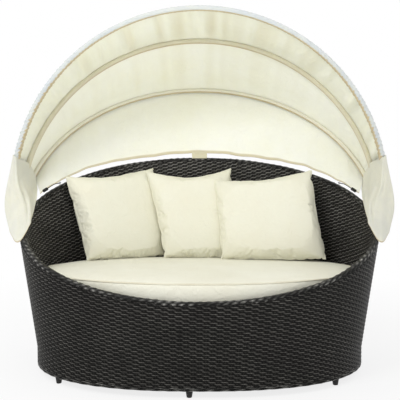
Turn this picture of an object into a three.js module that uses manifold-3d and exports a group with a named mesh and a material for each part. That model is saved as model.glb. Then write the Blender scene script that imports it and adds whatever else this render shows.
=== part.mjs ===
// An oval woven daybed with three loose pillows and a folding canopy on three bows.
// Millimetres, +Z up. The front faces -Y. The origin lies on the floor under the middle of the whole,
// and the canopy reaches back, so the tub's middle lies in front of it.

import * as THREE from 'three';
import { mergeVertices } from 'three/addons/utils/BufferGeometryUtils.js';
import Module from 'manifold-3d';

const wasm = await Module();
wasm.setup();

// Where the tub's middle lies. All other places are measured from it.
const TUB_MIDDLE_Y = -120;

// Tub: the rim is an ellipse on a sloping plane, and the base is a squarer oval.
const RIM_HALF_WIDTH = 860;
const RIM_HALF_DEPTH = 585;
const RIM_BACK_HEIGHT = 992;
const BASE_HALF_WIDTH = 772;
const BASE_HALF_DEPTH = 525;
const FOOT_HEIGHT = 30;
const RIM_ROUNDNESS_SHARE = 2;
const BASE_ROUNDNESS_SHARE = 2.35;
const SKIRT_SHARE = 0.14;

// Wall: a woven skin on each side of a tube frame, with a wrapped rim over both.
const FRAME_TUBE = 18;
const SKIN_THICKNESS = 4;
const TRIM_THICKNESS = 3;
const SEAT_GAP = 0.4;
const FACET_SLACK = 0.45;
const RIM_WRAP_HEIGHT = 22;
const BAND_HEIGHT = 16;
const SKIN_TOP_DROP = 9;
const RIM_TUBE_DROP = 14;

// Seat: it falls a little towards the back.
const SEAT_RAKE = 2.5;
const SEAT_FRONT_HEIGHT = 482;
const SEAT_FRONT_Y = -500;
const FRONT_RIM_DROP = 66;
const CUSHION_THICKNESS = 130;
const CUSHION_CROWN = 14;
const CUSHION_WALL_GAP = 12;
const CUSHION_EDGE_DRAW = 22;
const DECK_THICKNESS = 8;
const DECK_EDGE_GAP = 1;
const SLAT_THICKNESS = 12;
const SLAT_WIDTH = 40;
const SLAT_COUNT = 5;
const SLAT_PITCH = 255;
const SLAT_END_GAP = 3;
const CROSSBAR_OFFSET = 300;

// Feet: tapered stubs under the base ring.
const FOOT_TOP_RADIUS = 15.5;
const FOOT_BOTTOM_RADIUS = 8;
const FOOT_INSET = 24;
const FOOT_TURNS = [218.6, 266.8, 318.5, 41.5, 93.2, 141.4];

// Pillows: square, knife-edged, leaning on the back wall.
const PILLOW_SIDE = 465;
const LARGE_PILLOW_SIDE = 500;
const PILLOW_THICKNESS = 140;
const PILLOW_EDGE = 5;
const PILLOW_EDGE_DRAW = 22;

// Canopy: three bows turn on one bolt at each side.
const PIVOT_Y = 100;
const PIVOT_RIM_DROP = 65.23;
const PIVOT_WALL_CLEARANCE = 6;
const BRACKET_WIDTH = 64;
const BRACKET_HEIGHT = 70;
const BRACKET_REACH = 108;
const BRACKET_BORE_DEPTH = 16;
const BOLT_DIAMETER = 10;
const BOLT_HEAD_DIAMETER = 24;
const BOLT_HEAD_HEIGHT = 6;
const WASHER_DIAMETER = 28;
const WASHER_THICKNESS = 1.6;
const STACK_GAP = 0.3;
const BORE_CLEARANCE = 0.3;
const BOW_TUBE = 22;
const EYE_THICKNESS = 7;
const EYE_WIDTH = 31;
const BOW_LEG = 105;
const FRONT_BOW_OVERHANG = 58;
const INNER_BOW_STEP = 32;
const EYE_BEND_REACH = 60;
const FLAT_REACH = 170;
const ROUND_REACH = 235;
const FRONT_BOW_ANGLE = 90.7;
const MIDDLE_BOW_ANGLE = 69.3;
const REAR_BOW_ANGLE = 44.6;

// Cloth: the panels lie on the bows, and a sleeve under each panel holds its bow.
const CLOTH_THICKNESS = 2;
const CLOTH_GAP = 0.9;
const CLOTH_SAG_SHARE = 0.04;
const CLOTH_FOLD = 7;
const GATHER_DEPTH = 2.4;
const HEM_RISE = 20;
const HEM_END_TURN = 17;
const SEAM_GAP = 0.4;
const FLAP_DROP = 102;
const FLAP_BULGE = 9;
const FLAP_TIP_REACH = 18;
const FLAP_FRONT_LEAD = 16;
const FLAP_REAR_REACH = 162;
const FLAP_FOLD = 6;
const TAB_WIDTH = 88;
const TAB_DROP = 24;
const TAB_RIM_GAP = 1.6;

// Ties: a cord from a ring on the rim along the hem to a toggle.
const TIE_CORD_DIAMETER = 4;
const TIE_RING_TURN = 30;
const TIE_TOGGLE_TURN = 19.5;
const TIE_RING_DIAMETER = 14;
const TIE_RING_WIRE = 3;
const TOGGLE_DIAMETER = 16;
const TOGGLE_LENGTH = 27;
const TOGGLE_RISE = 26;
const TIE_STEPS = 14;
const TIE_ARC_STEPS = 4;

// One overrun serves every cut.
const CUT_OVERRUN = 5;

// How finely the round forms are stepped.
const RING_STEPS = 52;
const ARCH_STEPS = 30;
const ARCH_CLOTH_START = 2;
const LEG_ARCH_STEPS = 2;
const TUBE_SIDES = 8;
const BOW_SIDES = 8;
const BOLT_SIDES = 24;

const RAD = Math.PI / 180;
const { sin, cos, abs, min, max, PI } = Math;

const skinInset = TRIM_THICKNESS + SEAT_GAP;
const tubeInset = skinInset + SKIN_THICKNESS + SEAT_GAP;
const innerSkinInset = tubeInset + FRAME_TUBE + SEAT_GAP;
const innerFaceInset = innerSkinInset + SKIN_THICKNESS;
const innerTrimInset = innerFaceInset + SEAT_GAP;
const wallThickness = innerTrimInset + TRIM_THICKNESS;
const tubeAxisInset = tubeInset + FRAME_TUBE / 2;
// A ring tube's flats lie a little within its radius, clear of the facets round it.
const ringCorner = (FRAME_TUBE / 2 - FACET_SLACK) / Math.cos(Math.PI / TUBE_SIDES);

const MATERIALS = {
  rattan: { color: 0x322e2b, roughness: 0.55, metalness: 0 },
  frame: { color: 0x8d9093, roughness: 0.4, metalness: 0.7 },
  darkFrame: { color: 0x2b2623, roughness: 0.5, metalness: 0.2 },
  black: { color: 0x141414, roughness: 0.5, metalness: 0 },
  steel: { color: 0xa9abad, roughness: 0.3, metalness: 1 },
  canopy: { color: 0xf0efdc, roughness: 0.9, metalness: 0 },
  sleeve: { color: 0xcac1a6, roughness: 0.9, metalness: 0 },
  cushion: { color: 0xf0eedd, roughness: 0.95, metalness: 0 },
};

const model = new THREE.Group();
model.position.y = TUB_MIDDLE_Y;

function addPiece(name, geometry, finish) {
  geometry.computeVertexNormals();
  const mesh = new THREE.Mesh(geometry, new THREE.MeshStandardMaterial(MATERIALS[finish]));
  mesh.name = name;
  model.add(mesh);
}

// Small helpers for numbers and closed solids

const mix = (a, b, t) => a + (b - a) * t;
const clamp = (t) => min(max(t, 0), 1);
const smooth = (t) => clamp(t) ** 2 * (3 - 2 * clamp(t));
const shift = (point, direction, distance) => point.map((value, i) => value + direction[i] * distance);
const blendPoints = (a, b, t) => a.map((value, i) => mix(value, b[i], t));
const unit = (vector) => vector.map((value) => value / Math.hypot(...vector));
const minus = (a, b) => a.map((value, i) => value - b[i]);
const steps = (count, make) => Array.from({ length: count }, (unused, i) => make(i));

function signedVolume(points, faces) {
  return faces.reduce((sum, [a, b, c]) => {
    const [p, q, r] = [points[a], points[b], points[c]];
    const crossed = [q[1] * r[2] - q[2] * r[1], q[2] * r[0] - q[0] * r[2], q[0] * r[1] - q[1] * r[0]];
    return sum + p[0] * crossed[0] + p[1] * crossed[1] + p[2] * crossed[2];
  }, 0);
}

function closedSolid(points, faces) {
  const outward = signedVolume(points, faces) > 0;
  const index = faces.flatMap(([a, b, c]) => (outward ? [a, b, c] : [a, c, b]));
  const geometry = new THREE.BufferGeometry();
  geometry.setAttribute('position', new THREE.Float32BufferAttribute(points.flat(), 3));
  geometry.setIndex(index);
  return geometry;
}

function quadFaces(a, b, c, d) {
  return [[a, b, c], [a, c, d]];
}

// Joins a row of like sections into one solid. A looped row meets itself, and an open one is capped.
function loft(sections, looped) {
  const around = sections[0].length;
  const at = (i, j) => (i % sections.length) * around + (j % around);
  const faces = [];
  const spans = looped ? sections.length : sections.length - 1;
  for (let i = 0; i < spans; i += 1) {
    for (let j = 0; j < around; j += 1) {
      faces.push(...quadFaces(at(i, j), at(i, j + 1), at(i + 1, j + 1), at(i + 1, j)));
    }
  }
  if (!looped) {
    const last = sections.length - 1;
    for (let k = 0; k < around / 2 - 1; k += 1) {
      const [p, q, r, s] = [k, k + 1, around - 2 - k, around - 1 - k];
      faces.push(...quadFaces(at(0, s), at(0, r), at(0, q), at(0, p)));
      faces.push(...quadFaces(at(last, p), at(last, q), at(last, r), at(last, s)));
    }
  }
  return closedSolid(sections.flat(), faces);
}

// Closes a stack of loops with a pole at its bottom and its top.
function domed(loops, bottom, top) {
  const around = loops[0].length;
  const at = (i, j) => i * around + (j % around);
  const bottomPole = loops.length * around;
  const topPole = bottomPole + 1;
  const lastLoop = loops.length - 1;
  const faces = [];
  for (let j = 0; j < around; j += 1) {
    faces.push([bottomPole, at(0, j + 1), at(0, j)]);
    faces.push([topPole, at(lastLoop, j), at(lastLoop, j + 1)]);
    for (let i = 0; i < lastLoop; i += 1) {
      faces.push(...quadFaces(at(i, j), at(i, j + 1), at(i + 1, j + 1), at(i + 1, j)));
    }
  }
  return closedSolid([...loops.flat(), bottom, top], faces);
}

// Joins two like grids of points, one on each face of a sheet, round all four edges.
function sheet(faceGrid, backGrid) {
  const rows = faceGrid.length;
  const columns = faceGrid[0].length;
  const face = (i, j) => i * columns + j;
  const back = (i, j) => rows * columns + i * columns + j;
  const faces = [];
  for (let i = 0; i < rows - 1; i += 1) {
    for (let j = 0; j < columns - 1; j += 1) {
      faces.push(...quadFaces(face(i, j), face(i, j + 1), face(i + 1, j + 1), face(i + 1, j)));
      faces.push(...quadFaces(back(i, j), back(i + 1, j), back(i + 1, j + 1), back(i, j + 1)));
    }
  }
  for (let j = 0; j < columns - 1; j += 1) {
    faces.push(...quadFaces(face(0, j), back(0, j), back(0, j + 1), face(0, j + 1)));
    const last = rows - 1;
    faces.push(...quadFaces(face(last, j), face(last, j + 1), back(last, j + 1), back(last, j)));
  }
  for (let i = 0; i < rows - 1; i += 1) {
    faces.push(...quadFaces(face(i, 0), face(i + 1, 0), back(i + 1, 0), back(i, 0)));
    const last = columns - 1;
    faces.push(...quadFaces(face(i, last), back(i, last), back(i + 1, last), face(i + 1, last)));
  }
  return closedSolid([...faceGrid.flat(), ...backGrid.flat()], faces);
}

// A round or flattened section: its first half lies opposite its second, so that a cap can close it.
function ovalSection(centre, across, acrossReach, along, alongReach, sides) {
  return steps(sides, (k) => {
    const turn = (k + 0.5) * 2 * PI / sides;
    return shift(shift(centre, across, acrossReach * cos(turn)), along, alongReach * sin(turn));
  });
}

function toManifold(geometry) {
  const bare = geometry.clone();
  bare.deleteAttribute('normal');
  bare.deleteAttribute('uv');
  const merged = mergeVertices(bare);
  return new wasm.Manifold(new wasm.Mesh({
    numProp: 3,
    vertProperties: new Float32Array(merged.attributes.position.array),
    triVerts: new Uint32Array(merged.index.array),
  }));
}

function fromManifold(solid) {
  const mesh = solid.getMesh();
  const geometry = new THREE.BufferGeometry();
  geometry.setAttribute('position', new THREE.BufferAttribute(mesh.vertProperties, 3));
  geometry.setIndex(new THREE.BufferAttribute(mesh.triVerts, 1));
  return geometry;
}

function cut(geometry, ...tools) {
  const whole = toManifold(geometry);
  return fromManifold(tools.reduce((rest, tool) => rest.subtract(toManifold(tool)), whole));
}

// A cylinder from one X to another at a height and depth.
function barAlongX(fromX, toX, y, z, diameter) {
  const bar = new THREE.CylinderGeometry(diameter / 2, diameter / 2, abs(toX - fromX), BOLT_SIDES);
  bar.rotateZ(90 * RAD);
  bar.translate((fromX + toX) / 2, y, z);
  return bar;
}

// Tub: plan, rim line and wall

// At the front the rim lies a little below the cushion's top, so that a sitter's legs pass over it.
const rimFrontHeight = SEAT_FRONT_HEIGHT - FRONT_RIM_DROP;
const rimSlope = (RIM_BACK_HEIGHT - rimFrontHeight) / (2 * RIM_HALF_DEPTH);
const rimMiddleHeight = (RIM_BACK_HEIGHT + rimFrontHeight) / 2;
const rimTubeHalfRise = FRAME_TUBE / 2 * Math.hypot(1, rimSlope);
const ringTurns = steps(RING_STEPS, (i) => i * 2 * PI / RING_STEPS);

function planPoint(turn, halfWidth, halfDepth, roundness) {
  const heading = Math.atan2(RIM_HALF_DEPTH * sin(turn), RIM_HALF_WIDTH * cos(turn));
  const across = abs(cos(heading) / halfWidth) ** roundness;
  const along = abs(sin(heading) / halfDepth) ** roundness;
  const reach = (across + along) ** (-1 / roundness);
  return [reach * cos(heading), reach * sin(heading)];
}

const planNormal = (turn) => unit([cos(turn) / RIM_HALF_WIDTH, sin(turn) / RIM_HALF_DEPTH, 0]);
const rimTop = (turn) => rimMiddleHeight + rimSlope * RIM_HALF_DEPTH * sin(turn);
const kneeHeight = (turn) => mix(FOOT_HEIGHT, rimTop(turn), SKIRT_SHARE);

// A point of the wall's outer line at a height, moved in by an inset. Insets are measured square to the
// wall, so the leaning wall stretches them.
function wallPoint(turn, height, inset) {
  const level = clamp((height - FOOT_HEIGHT) / (rimTop(turn) - FOOT_HEIGHT));
  const flare = max(level - SKIRT_SHARE, 0) / (1 - SKIRT_SHARE);
  const base = planPoint(turn, BASE_HALF_WIDTH, BASE_HALF_DEPTH, BASE_ROUNDNESS_SHARE);
  const rim = planPoint(turn, RIM_HALF_WIDTH, RIM_HALF_DEPTH, RIM_ROUNDNESS_SHARE);
  const lean = Math.hypot(...minus(rim, base)) / (rimTop(turn) - kneeHeight(turn));
  const outer = [...blendPoints(base, rim, flare), height];
  return shift(outer, planNormal(turn), -inset * Math.hypot(1, lean));
}

// The pivots lie below the rim, and their face stands clear of the wall's widest place near them.
const pivotTurn = Math.asin(PIVOT_Y / RIM_HALF_DEPTH);
const pivotHeight = rimTop(pivotTurn) - PIVOT_RIM_DROP;
const bracketBottom = pivotHeight + EYE_WIDTH / 2 - BRACKET_HEIGHT;
const pivotFaceX = max(RIM_HALF_WIDTH, wallPoint(pivotTurn, bracketBottom, 0)[0]) + PIVOT_WALL_CLEARANCE;
const frontBowRadius = pivotFaceX + FRONT_BOW_OVERHANG;
const innerBowRadius = frontBowRadius - INNER_BOW_STEP;

const rimPoint = (turn, inset, drop) => wallPoint(turn, rimTop(turn) - drop, inset);

// Seat planes: heights measured from the cushion's top plane

const seatHeight = (y, drop) => SEAT_FRONT_HEIGHT - Math.tan(SEAT_RAKE * RAD) * (y - SEAT_FRONT_Y) - drop;
const deckDrop = CUSHION_THICKNESS + SEAT_GAP;
const slatDrop = deckDrop + DECK_THICKNESS + SEAT_GAP;
const seatRingDrop = slatDrop + SLAT_THICKNESS + SEAT_GAP;

function seatPoint(turn, inset, drop) {
  let point = wallPoint(turn, seatHeight(0, drop), inset);
  for (let pass = 0; pass < 4; pass += 1) {
    point = wallPoint(turn, seatHeight(point[1], drop), inset);
  }
  return point;
}

// How far forward or back a line round the tub lies at a distance from its middle.
function reachAt(x, side, pointAt) {
  let near = 0;
  let far = 90 * RAD;
  for (let pass = 0; pass < 24; pass += 1) {
    const middle = (near + far) / 2;
    if (pointAt(side * middle)[0] > x) {
      near = middle;
    } else {
      far = middle;
    }
  }
  return pointAt(side * near)[1];
}

// Frame

function ringTube(axisPoint) {
  const axis = ringTurns.map(axisPoint);
  return loft(ringTurns.map((turn, i) => {
    const next = axis[(i + 1) % RING_STEPS];
    const last = axis[(i + RING_STEPS - 1) % RING_STEPS];
    const along = new THREE.Vector3(...minus(next, last)).normalize();
    const out = new THREE.Vector3(...planNormal(turn));
    const up = along.clone().cross(out).normalize();
    return ovalSection(axis[i], out.toArray(), ringCorner, up.toArray(), ringCorner, TUBE_SIDES);
  }), true);
}

const baseRingHeight = FOOT_HEIGHT + FRAME_TUBE / 2;

function makeRings() {
  addPiece('base_ring', ringTube((turn) => wallPoint(turn, baseRingHeight, tubeAxisInset)), 'darkFrame');
  addPiece('rim_tube', ringTube((turn) => rimPoint(turn, tubeAxisInset, RIM_TUBE_DROP)), 'darkFrame');
  const seatInset = innerSkinInset + FRAME_TUBE / 2;
  const axisDrop = seatRingDrop + FRAME_TUBE / 2;
  addPiece('seat_ring', ringTube((turn) => seatPoint(turn, seatInset, axisDrop)), 'darkFrame');
}

// The uprights stand where the skins' facets meet: their shares of a full turn.
const UPRIGHT_TURN_SHARES = [0.02, 0.135, 0.25, 0.365, 0.48, 0.654, 0.846];
const uprightTurns = UPRIGHT_TURN_SHARES.map((share) => ringTurns[Math.round(share * RING_STEPS)]);

function makeUprights() {
  const bottom = FOOT_HEIGHT + FRAME_TUBE + SEAT_GAP;
  uprightTurns.forEach((turn, i) => {
    const out = planNormal(turn);
    const side = [-out[1], out[0], 0];
    const slopeRise = abs(rimSlope * cos(turn)) * FRAME_TUBE / 2;
    const top = rimTop(turn) - RIM_TUBE_DROP - rimTubeHalfRise - SEAT_GAP - slopeRise;
    const radius = FRAME_TUBE / 2;
    const sections = [bottom, kneeHeight(turn), top].map((height) => (
      ovalSection(wallPoint(turn, height, tubeAxisInset), out, radius, side, radius, TUBE_SIDES)));
    addPiece(`upright_${i + 1}`, loft(sections, false), 'darkFrame');
  });
}

function makeCrossbars() {
  [-1, 1].forEach((side, i) => {
    const x = side * CROSSBAR_OFFSET;
    const outerEdge = CROSSBAR_OFFSET + FRAME_TUBE / 2;
    const ringFace = (turn) => wallPoint(turn, baseRingHeight, innerSkinInset);
    const reach = reachAt(outerEdge, 1, ringFace) - FACET_SLACK;
    const bar = new THREE.CylinderGeometry(FRAME_TUBE / 2, FRAME_TUBE / 2, 2 * reach, TUBE_SIDES);
    bar.translate(x, 0, baseRingHeight);
    addPiece(`base_crossbar_${i + 1}`, bar, 'darkFrame');
  });
}

function makeSlats() {
  const middleDrop = slatDrop + SLAT_THICKNESS / 2;
  steps(SLAT_COUNT, (i) => {
    const x = (i - (SLAT_COUNT - 1) / 2) * SLAT_PITCH;
    const corner = abs(x) + SLAT_WIDTH / 2;
    const inset = innerFaceInset + SEAT_GAP;
    const back = reachAt(corner, 1, (turn) => seatPoint(turn, inset, middleDrop)) - SLAT_END_GAP;
    const front = reachAt(corner, -1, (turn) => seatPoint(turn, inset, middleDrop)) + SLAT_END_GAP;
    const length = (back - front) / cos(SEAT_RAKE * RAD) - SLAT_THICKNESS * sin(SEAT_RAKE * RAD);
    const slat = new THREE.BoxGeometry(SLAT_WIDTH, length, SLAT_THICKNESS);
    slat.rotateX(-SEAT_RAKE * RAD);
    const middle = (back + front) / 2;
    slat.translate(x, middle, seatHeight(middle, middleDrop));
    addPiece(`seat_slat_${i + 1}`, slat, 'darkFrame');
  });
}

function makeDeck() {
  const inset = innerFaceInset + DECK_EDGE_GAP;
  const loops = [deckDrop + DECK_THICKNESS, deckDrop].map((drop) => (
    ringTurns.map((turn) => seatPoint(turn, inset, drop))));
  const bottom = [0, 0, seatHeight(0, deckDrop + DECK_THICKNESS)];
  addPiece('seat_deck', domed(loops, bottom, [0, 0, seatHeight(0, deckDrop)]), 'rattan');
}

function makeFeet() {
  FOOT_TURNS.forEach((degrees, i) => {
    const foot = new THREE.CylinderGeometry(
      FOOT_TOP_RADIUS, FOOT_BOTTOM_RADIUS, FOOT_HEIGHT - SEAT_GAP, BOLT_SIDES / 2);
    foot.rotateX(90 * RAD);
    const [x, y] = wallPoint(degrees * RAD, baseRingHeight, FOOT_INSET);
    foot.translate(x, y, (FOOT_HEIGHT - SEAT_GAP) / 2);
    addPiece(`foot_${i + 1}`, foot, 'black');
  });
}

// Woven skins and trims

function makeSkins() {
  const skinSection = (turn, outerInset, bottom) => {
    const top = rimTop(turn) - SKIN_TOP_DROP;
    const heights = [bottom, max(kneeHeight(turn), bottom), top];
    const outer = heights.map((height) => wallPoint(turn, height, outerInset));
    const inner = heights.map((height) => wallPoint(turn, height, outerInset + SKIN_THICKNESS));
    return [...outer, ...inner.reverse()];
  };
  const outerSkin = ringTurns.map((turn) => skinSection(turn, skinInset, FOOT_HEIGHT));
  addPiece('outer_skin', loft(outerSkin, true), 'rattan');
  const innerSkin = ringTurns.map((turn) => {
    const bottom = seatPoint(turn, innerSkinInset, seatRingDrop - SEAT_GAP)[2];
    const top = rimTop(turn) - SKIN_TOP_DROP;
    return [[bottom, 0], [top, 0], [top, SKIN_THICKNESS], [bottom, SKIN_THICKNESS]].map(
      ([height, depth]) => wallPoint(turn, height, innerSkinInset + depth));
  });
  addPiece('inner_skin', loft(innerSkin, true), 'rattan');
}

// The wrap's section: places across the wall and down from the top, as shares of its half width and height.
const WRAP_OUTER_SHARES = [[-1, 1], [-1, 0.42], [-0.62, 0], [0.62, 0], [1, 0.42], [1, 1]];
const WRAP_INNER_SHARES = [[1, 1], [1, 0.22], [0.45, 0], [-0.45, 0], [-1, 0.22], [-1, 1]];

function makeRimWrap() {
  const half = wallThickness / 2;
  const innerHalf = half - TRIM_THICKNESS + FACET_SLACK;
  const innerTop = RIM_TUBE_DROP - rimTubeHalfRise - SEAT_GAP;
  const sections = ringTurns.map((turn) => {
    const outer = WRAP_OUTER_SHARES.map(([across, down]) => (
      rimPoint(turn, half + across * half, down * RIM_WRAP_HEIGHT)));
    const inner = WRAP_INNER_SHARES.map(([across, down]) => (
      rimPoint(turn, half + across * innerHalf, mix(innerTop, RIM_WRAP_HEIGHT, down))));
    return [...outer, ...inner];
  });
  addPiece('rim_wrap', loft(sections, true), 'rattan');
}

function makeBaseBand() {
  const sections = ringTurns.map((turn) => (
    [[0, 0], [BAND_HEIGHT, 0], [BAND_HEIGHT, TRIM_THICKNESS], [0, TRIM_THICKNESS]].map(
      ([rise, inset]) => wallPoint(turn, FOOT_HEIGHT + rise, inset))));
  addPiece('base_band', loft(sections, true), 'rattan');
}

// Cushion and pillows

// Rings of the cushion's side: how high in its thickness, and how far it is drawn in.
const CUSHION_SIDE_SHARES = [[0, 1], [0.07, 0.42], [0.22, 0.1], [0.5, 0], [0.78, 0.1], [0.93, 0.42], [1, 1]];
// Rings of its crown: how far out, and how much of the crown's height.
const CUSHION_CROWN_SHARES = [[0.86, 0.42], [0.6, 0.8], [0.3, 0.96]];

function makeSeatCushion() {
  const edgeInset = wallThickness + CUSHION_WALL_GAP;
  const outline = (turn, draw) => seatPoint(turn, edgeInset + draw * CUSHION_EDGE_DRAW, deckDrop / 2);
  const sideRings = CUSHION_SIDE_SHARES.map(([rise, draw]) => ringTurns.map((turn) => {
    const [x, y] = outline(turn, draw);
    return [x, y, seatHeight(y, CUSHION_THICKNESS * (1 - rise))];
  }));
  const crownRings = CUSHION_CROWN_SHARES.map(([out, crown]) => ringTurns.map((turn) => {
    const [x, y] = outline(turn, 1);
    return [x * out, y * out, seatHeight(y * out, -CUSHION_CROWN * crown)];
  }));
  const bottom = [0, 0, seatHeight(0, CUSHION_THICKNESS)];
  const top = [0, 0, seatHeight(0, -CUSHION_CROWN)];
  addPiece('seat_cushion', domed([...sideRings, ...crownRings], bottom, top), 'cushion');
}

// Each pillow's lower edge: how far across its middle lies, as a share of its side, how far in front of the
// rim's back, as a share of a common pillow's side, and its lift off the seat, as a share of its thickness.
// Then its turn and lean.
const PILLOWS = [
  { name: 'left', side: PILLOW_SIDE, placeShares: [-0.8495, 0.7204, 0.2357], turn: 24, lean: 17 },
  { name: 'middle', side: PILLOW_SIDE, placeShares: [0.0602, 0.5785, 0.2307], turn: 0, lean: 21 },
  { name: 'right', side: LARGE_PILLOW_SIDE, placeShares: [0.724, 0.8968, 0.2529], turn: -8, lean: 23 },
];
const PILLOW_ROLL = 6;
const PILLOW_CELLS = 12;
const PILLOW_FILL_SHARE = 0.62;

function makePillows() {
  PILLOWS.forEach((pillow) => {
    const half = pillow.side / 2;
    const faceOf = (side) => steps(PILLOW_CELLS + 1, (i) => steps(PILLOW_CELLS + 1, (j) => {
      const u = -cos(i * PI / PILLOW_CELLS);
      const v = -cos(j * PI / PILLOW_CELLS);
      const drawU = 1 - PILLOW_EDGE_DRAW / half * (1 - v * v);
      const drawV = 1 - PILLOW_EDGE_DRAW / half * (1 - u * u);
      const fill = ((1 - u ** 4) * (1 - v ** 4)) ** PILLOW_FILL_SHARE;
      return [u * half * mix(1, drawU, abs(u)),
        side * mix(PILLOW_EDGE, PILLOW_THICKNESS, fill) / 2,
        v * half * mix(1, drawV, abs(v))];
    }));
    const geometry = sheet(faceOf(1), faceOf(-1));
    geometry.rotateY(-PILLOW_ROLL * RAD);
    geometry.translate(0, 0, half);
    geometry.rotateX(-pillow.lean * RAD);
    geometry.rotateZ(pillow.turn * RAD);
    const [acrossShare, frontShare, liftShare] = pillow.placeShares;
    const y = RIM_HALF_DEPTH - frontShare * PILLOW_SIDE;
    geometry.translate(acrossShare * pillow.side, y, seatHeight(y, -liftShare * PILLOW_THICKNESS));
    addPiece(`pillow_${pillow.name}`, geometry, 'cushion');
  });
}

// Pivot stack: bracket, bows and washers side by side along X

const stackStart = pivotFaceX + STACK_GAP;
const stackPitch = EYE_THICKNESS + WASHER_THICKNESS + 2 * STACK_GAP;
const washerX = (layer) => stackStart + layer * stackPitch;
const eyeX = (layer) => washerX(layer) + WASHER_THICKNESS + STACK_GAP + EYE_THICKNESS / 2;
const boltHeadX = washerX(3);
const boreDiameter = BOLT_DIAMETER + 2 * BORE_CLEARANCE;

function wallSolid(inset) {
  const loops = [0, SKIRT_SHARE, 1].map((level) => ringTurns.map((turn) => (
    wallPoint(turn, mix(FOOT_HEIGHT, rimTop(turn), level), inset))));
  return domed(loops, [0, 0, FOOT_HEIGHT], [0, 0, rimMiddleHeight]);
}

function mirrored(geometry, side) {
  const copy = geometry.clone();
  if (side < 0) {
    copy.scale(-1, 1, 1);
    const index = copy.index.array;
    for (let i = 0; i < index.length; i += 3) {
      [index[i], index[i + 1]] = [index[i + 1], index[i]];
    }
  }
  return copy;
}

const SIDES = [['left', -1], ['right', 1]];

function makePivots() {
  const block = new THREE.BoxGeometry(BRACKET_REACH, BRACKET_WIDTH, BRACKET_HEIGHT);
  block.translate(pivotFaceX - BRACKET_REACH / 2, PIVOT_Y, bracketBottom + BRACKET_HEIGHT / 2);
  const bore = barAlongX(pivotFaceX - BRACKET_BORE_DEPTH, pivotFaceX + CUT_OVERRUN, PIVOT_Y,
    pivotHeight, boreDiameter);
  const wall = wallSolid(skinInset - SEAT_GAP);
  const wallX = wallPoint(pivotTurn, pivotHeight, 0)[0];
  const boltTip = max(pivotFaceX - BRACKET_BORE_DEPTH, wallX) + STACK_GAP;
  const shank = barAlongX(boltTip, boltHeadX, PIVOT_Y, pivotHeight, BOLT_DIAMETER);
  const head = barAlongX(boltHeadX, boltHeadX + BOLT_HEAD_HEIGHT, PIVOT_Y, pivotHeight, BOLT_HEAD_DIAMETER);
  const bolt = fromManifold(toManifold(shank).add(toManifold(head)));
  SIDES.forEach(([side, sign]) => {
    addPiece(`${side}_pivot_bracket`, cut(mirrored(block, sign), wall, mirrored(bore, sign)), 'black');
    addPiece(`${side}_pivot_bolt`, mirrored(bolt, sign), 'steel');
    steps(3, (layer) => {
      const disc = barAlongX(washerX(layer), washerX(layer) + WASHER_THICKNESS, PIVOT_Y, pivotHeight,
        WASHER_DIAMETER);
      const hole = barAlongX(washerX(layer) - CUT_OVERRUN, washerX(layer) + CUT_OVERRUN, PIVOT_Y,
        pivotHeight, boreDiameter);
      addPiece(`${side}_washer_${layer + 1}`, mirrored(cut(disc, hole), sign), 'black');
    });
  });
}

// Bows: straight legs from the eyes, then half a circle

const BOWS = {
  front: { radius: frontBowRadius, angle: FRONT_BOW_ANGLE, layer: 2, bendReach: EYE_BEND_REACH },
  middle: { radius: innerBowRadius, angle: MIDDLE_BOW_ANGLE, layer: 1, bendReach: FLAT_REACH },
  rear: { radius: innerBowRadius, angle: REAR_BOW_ANGLE, layer: 0, bendReach: FLAT_REACH },
};

// A place in a bow's plane: across, out from the pivot line, and off the plane towards the front.
function bowPlace(bow, x, out, forward) {
  const up = bow.angle * RAD;
  return [x, PIVOT_Y + out * cos(up) - forward * sin(up), pivotHeight + out * sin(up) + forward * cos(up)];
}

const bowForward = (bow) => [0, -sin(bow.angle * RAD), cos(bow.angle * RAD)];
const archTurns = steps(ARCH_STEPS + 1, (i) => i * PI / ARCH_STEPS);
const archRadial = (bow, turn) => minus(bowPlace(bow, cos(turn), sin(turn), 0), bowPlace(bow, 0, 0, 0));
const archPoint = (bow, turn, proud) => shift(
  bowPlace(bow, bow.radius * cos(turn), BOW_LEG + bow.radius * sin(turn), 0), archRadial(bow, turn), proud);

// Rounding of an eye's end: how far past the pivot, and the width left there.
const EYE_END_SHARES = [[-1, 0.35], [-0.86, 0.62], [-0.5, 0.9], [0, 1]];
const LEG_STEP_SHARES = [0.25, 0.5, 0.75, 1];

// A bow's section: round in the arch, and pressed to a flat bar at the legs.
function bowSection(bow, out, turn, width) {
  const flat = 1 - smooth((out - FLAT_REACH) / (ROUND_REACH - FLAT_REACH));
  const inward = 1 - smooth((out - bow.bendReach) / (ROUND_REACH - bow.bendReach));
  const x = bow.radius * cos(turn) - Math.sign(cos(turn)) * (bow.radius - eyeX(bow.layer)) * inward;
  const centre = bowPlace(bow, x, out, 0);
  return steps(BOW_SIDES, (k) => {
    const around = (k + 0.5) * 2 * PI / BOW_SIDES;
    const across = mix(cos(around) * BOW_TUBE, Math.sign(cos(around)) * EYE_THICKNESS, flat) / 2;
    const along = sin(around) * mix(BOW_TUBE, EYE_WIDTH * width, flat) / 2;
    return shift(shift(centre, archRadial(bow, turn), across), bowForward(bow), along);
  });
}

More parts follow.
